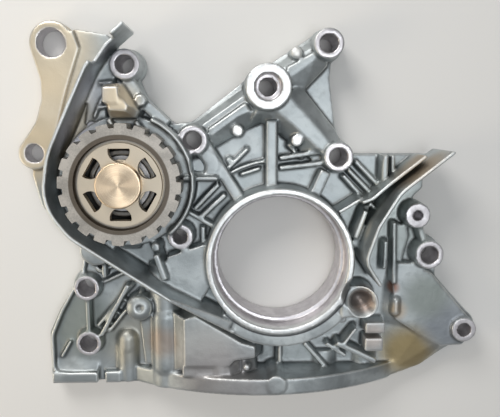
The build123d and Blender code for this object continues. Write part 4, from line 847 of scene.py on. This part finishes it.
shaft = turned_piece("shaft", PUMP_AXIS, SHAFT_PROFILE)
shaft.data.materials.append(shaft_paint)
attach(shaft, "pump_drive")
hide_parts("drive_shaft")


# ---------------------------------------------------------------------------
# Rotors and keys
# ---------------------------------------------------------------------------
# Both rotors are sintered and then ground on their faces. Square steel keys
# lock the inner rotor and the pulley to the shaft.

rotor_paint = plain_metal("sintered_rotor", (0.26, 0.25, 0.24), (0.38, 0.37, 0.36), 0.38, 1400, 0.03)
softened("driven_rotor", rotor_paint, 0.2)
softened("drive_rotor", rotor_paint, 0.2)
zinc_paint = plain_metal("zinc_plated_steel", (0.36, 0.36, 0.37), (0.50, 0.50, 0.51), 0.34, 900, 0.01)
softened("rotor_key", zinc_paint, 0.2)
softened("pulley_key", zinc_paint, 0.2)


# ---------------------------------------------------------------------------
# Cover, screws and dowel pins
# ---------------------------------------------------------------------------
# The pump cover is a ground steel plate, set flush in the rear of the case by
# two dowel pins and five countersunk screws.

cover_paint = plain_metal("ground_steel", (0.42, 0.42, 0.43), (0.56, 0.56, 0.57), 0.30, 700, 0.01)
softened("pump_cover", cover_paint, 0.25)
softened("cover_screws", zinc_paint, 0.15)
softened("cover_pins", zinc_paint, 0.15)


# ---------------------------------------------------------------------------
# Bushes and oil seal
# ---------------------------------------------------------------------------
# Two plain bronze bushes carry the shaft. In front of them sits an oil seal:
# a pressed steel case, a moulded rubber lip and a small garter spring.

bronze_paint = plain_metal("bearing_bronze", (0.48, 0.34, 0.16), (0.66, 0.49, 0.27), 0.30, 700, 0.01)
softened("front_bush", bronze_paint, 0.2)
softened("cover_bush", bronze_paint, 0.2)
seal_paint = plain_metal("pressed_steel", (0.34, 0.34, 0.35), (0.46, 0.46, 0.47), 0.36, 700, 0.01)
softened("shaft_seal_case", seal_paint, 0.3)
rubber_paint = plain_metal("seal_rubber", (0.045, 0.03, 0.025), (0.09, 0.055, 0.04), 0.58, 900, 0.02, 0.0)
softened("shaft_seal_lip", rubber_paint, 0.15)
spring_paint = plain_metal("drawn_spring_wire", (0.26, 0.26, 0.27), (0.40, 0.40, 0.41), 0.32, 900, 0.01)
softened("seal_spring", spring_paint, 0.1)


# ---------------------------------------------------------------------------
# Relief valve
# ---------------------------------------------------------------------------
# A steel piston closes the pressure side. A coil spring behind it stands on a
# drilled plug, which a snap ring holds in the bore from the oil pan side.

SPRING_ENDS = (-61.0, -10.0)   # y of the plug's top and of the piston's crown
SPRING_RADIUS = 2.7
SPRING_WIRE = 1.0
SPRING_TURNS = 15
CLOSED_PITCH = 1.06        # rise of an end turn, as a share of the wire

piston_paint = plain_metal("ground_piston", (0.60, 0.58, 0.55), (0.74, 0.72, 0.69), 0.22, 900, 0.005)
softened("relief_piston", piston_paint, 0.2)
softened("spring_retainer", piston_paint, 0.3)
softened("retainer_ring", spring_paint, 0.15)


def coil_spring(name, axis, low, high, radius, wire, turns, steps=24, sides=8):
    """A coil along y in mm: a wire circle carried round the axis (x, z). Its height follows the
    turn in even steps between one closed turn at each end."""
    at = np.linspace(0, turns, int(turns * steps) + 1)
    first, last = low + wire / 2, high - wire / 2
    rise = CLOSED_PITCH * wire
    middle = np.interp(at, [0, 1, turns - 1, turns], [first, first + rise, last - rise, last])
    round_wire = np.linspace(0, 2 * np.pi, sides, endpoint=False)
    reach = radius + wire / 2 * np.cos(round_wire)
    turn = 2 * np.pi * at[:, None]
    x = axis[0] + reach * np.cos(turn)
    y = middle[:, None] + wire / 2 * np.sin(round_wire)
    z = axis[1] + reach * np.sin(turn)
    rows, faces = stacked(np.stack([x, y, z], -1))
    mesh = bpy.data.meshes.new(name)
    mesh.from_pydata((rows * MM).tolist(), [], faces)
    mesh.polygons.foreach_set("use_smooth", np.ones(len(mesh.polygons), bool))
    mesh.set_sharp_from_angle(angle=math.radians(60))
    return placed(name, mesh)


coil = coil_spring("relief_coil", RELIEF_AXIS, *SPRING_ENDS, SPRING_RADIUS, SPRING_WIRE, SPRING_TURNS)
coil.data.materials.append(spring_paint)
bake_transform(coil)
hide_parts("relief_spring")


# ---------------------------------------------------------------------------
# Outlet ring
# ---------------------------------------------------------------------------
# A moulded rubber ring lies in a groove round the oil outlet in the rear face.
# The bolts squeeze it against the engine.

nodes["outlet_ring"].data.materials.clear()
nodes["outlet_ring"].data.materials.append(rubber_paint)
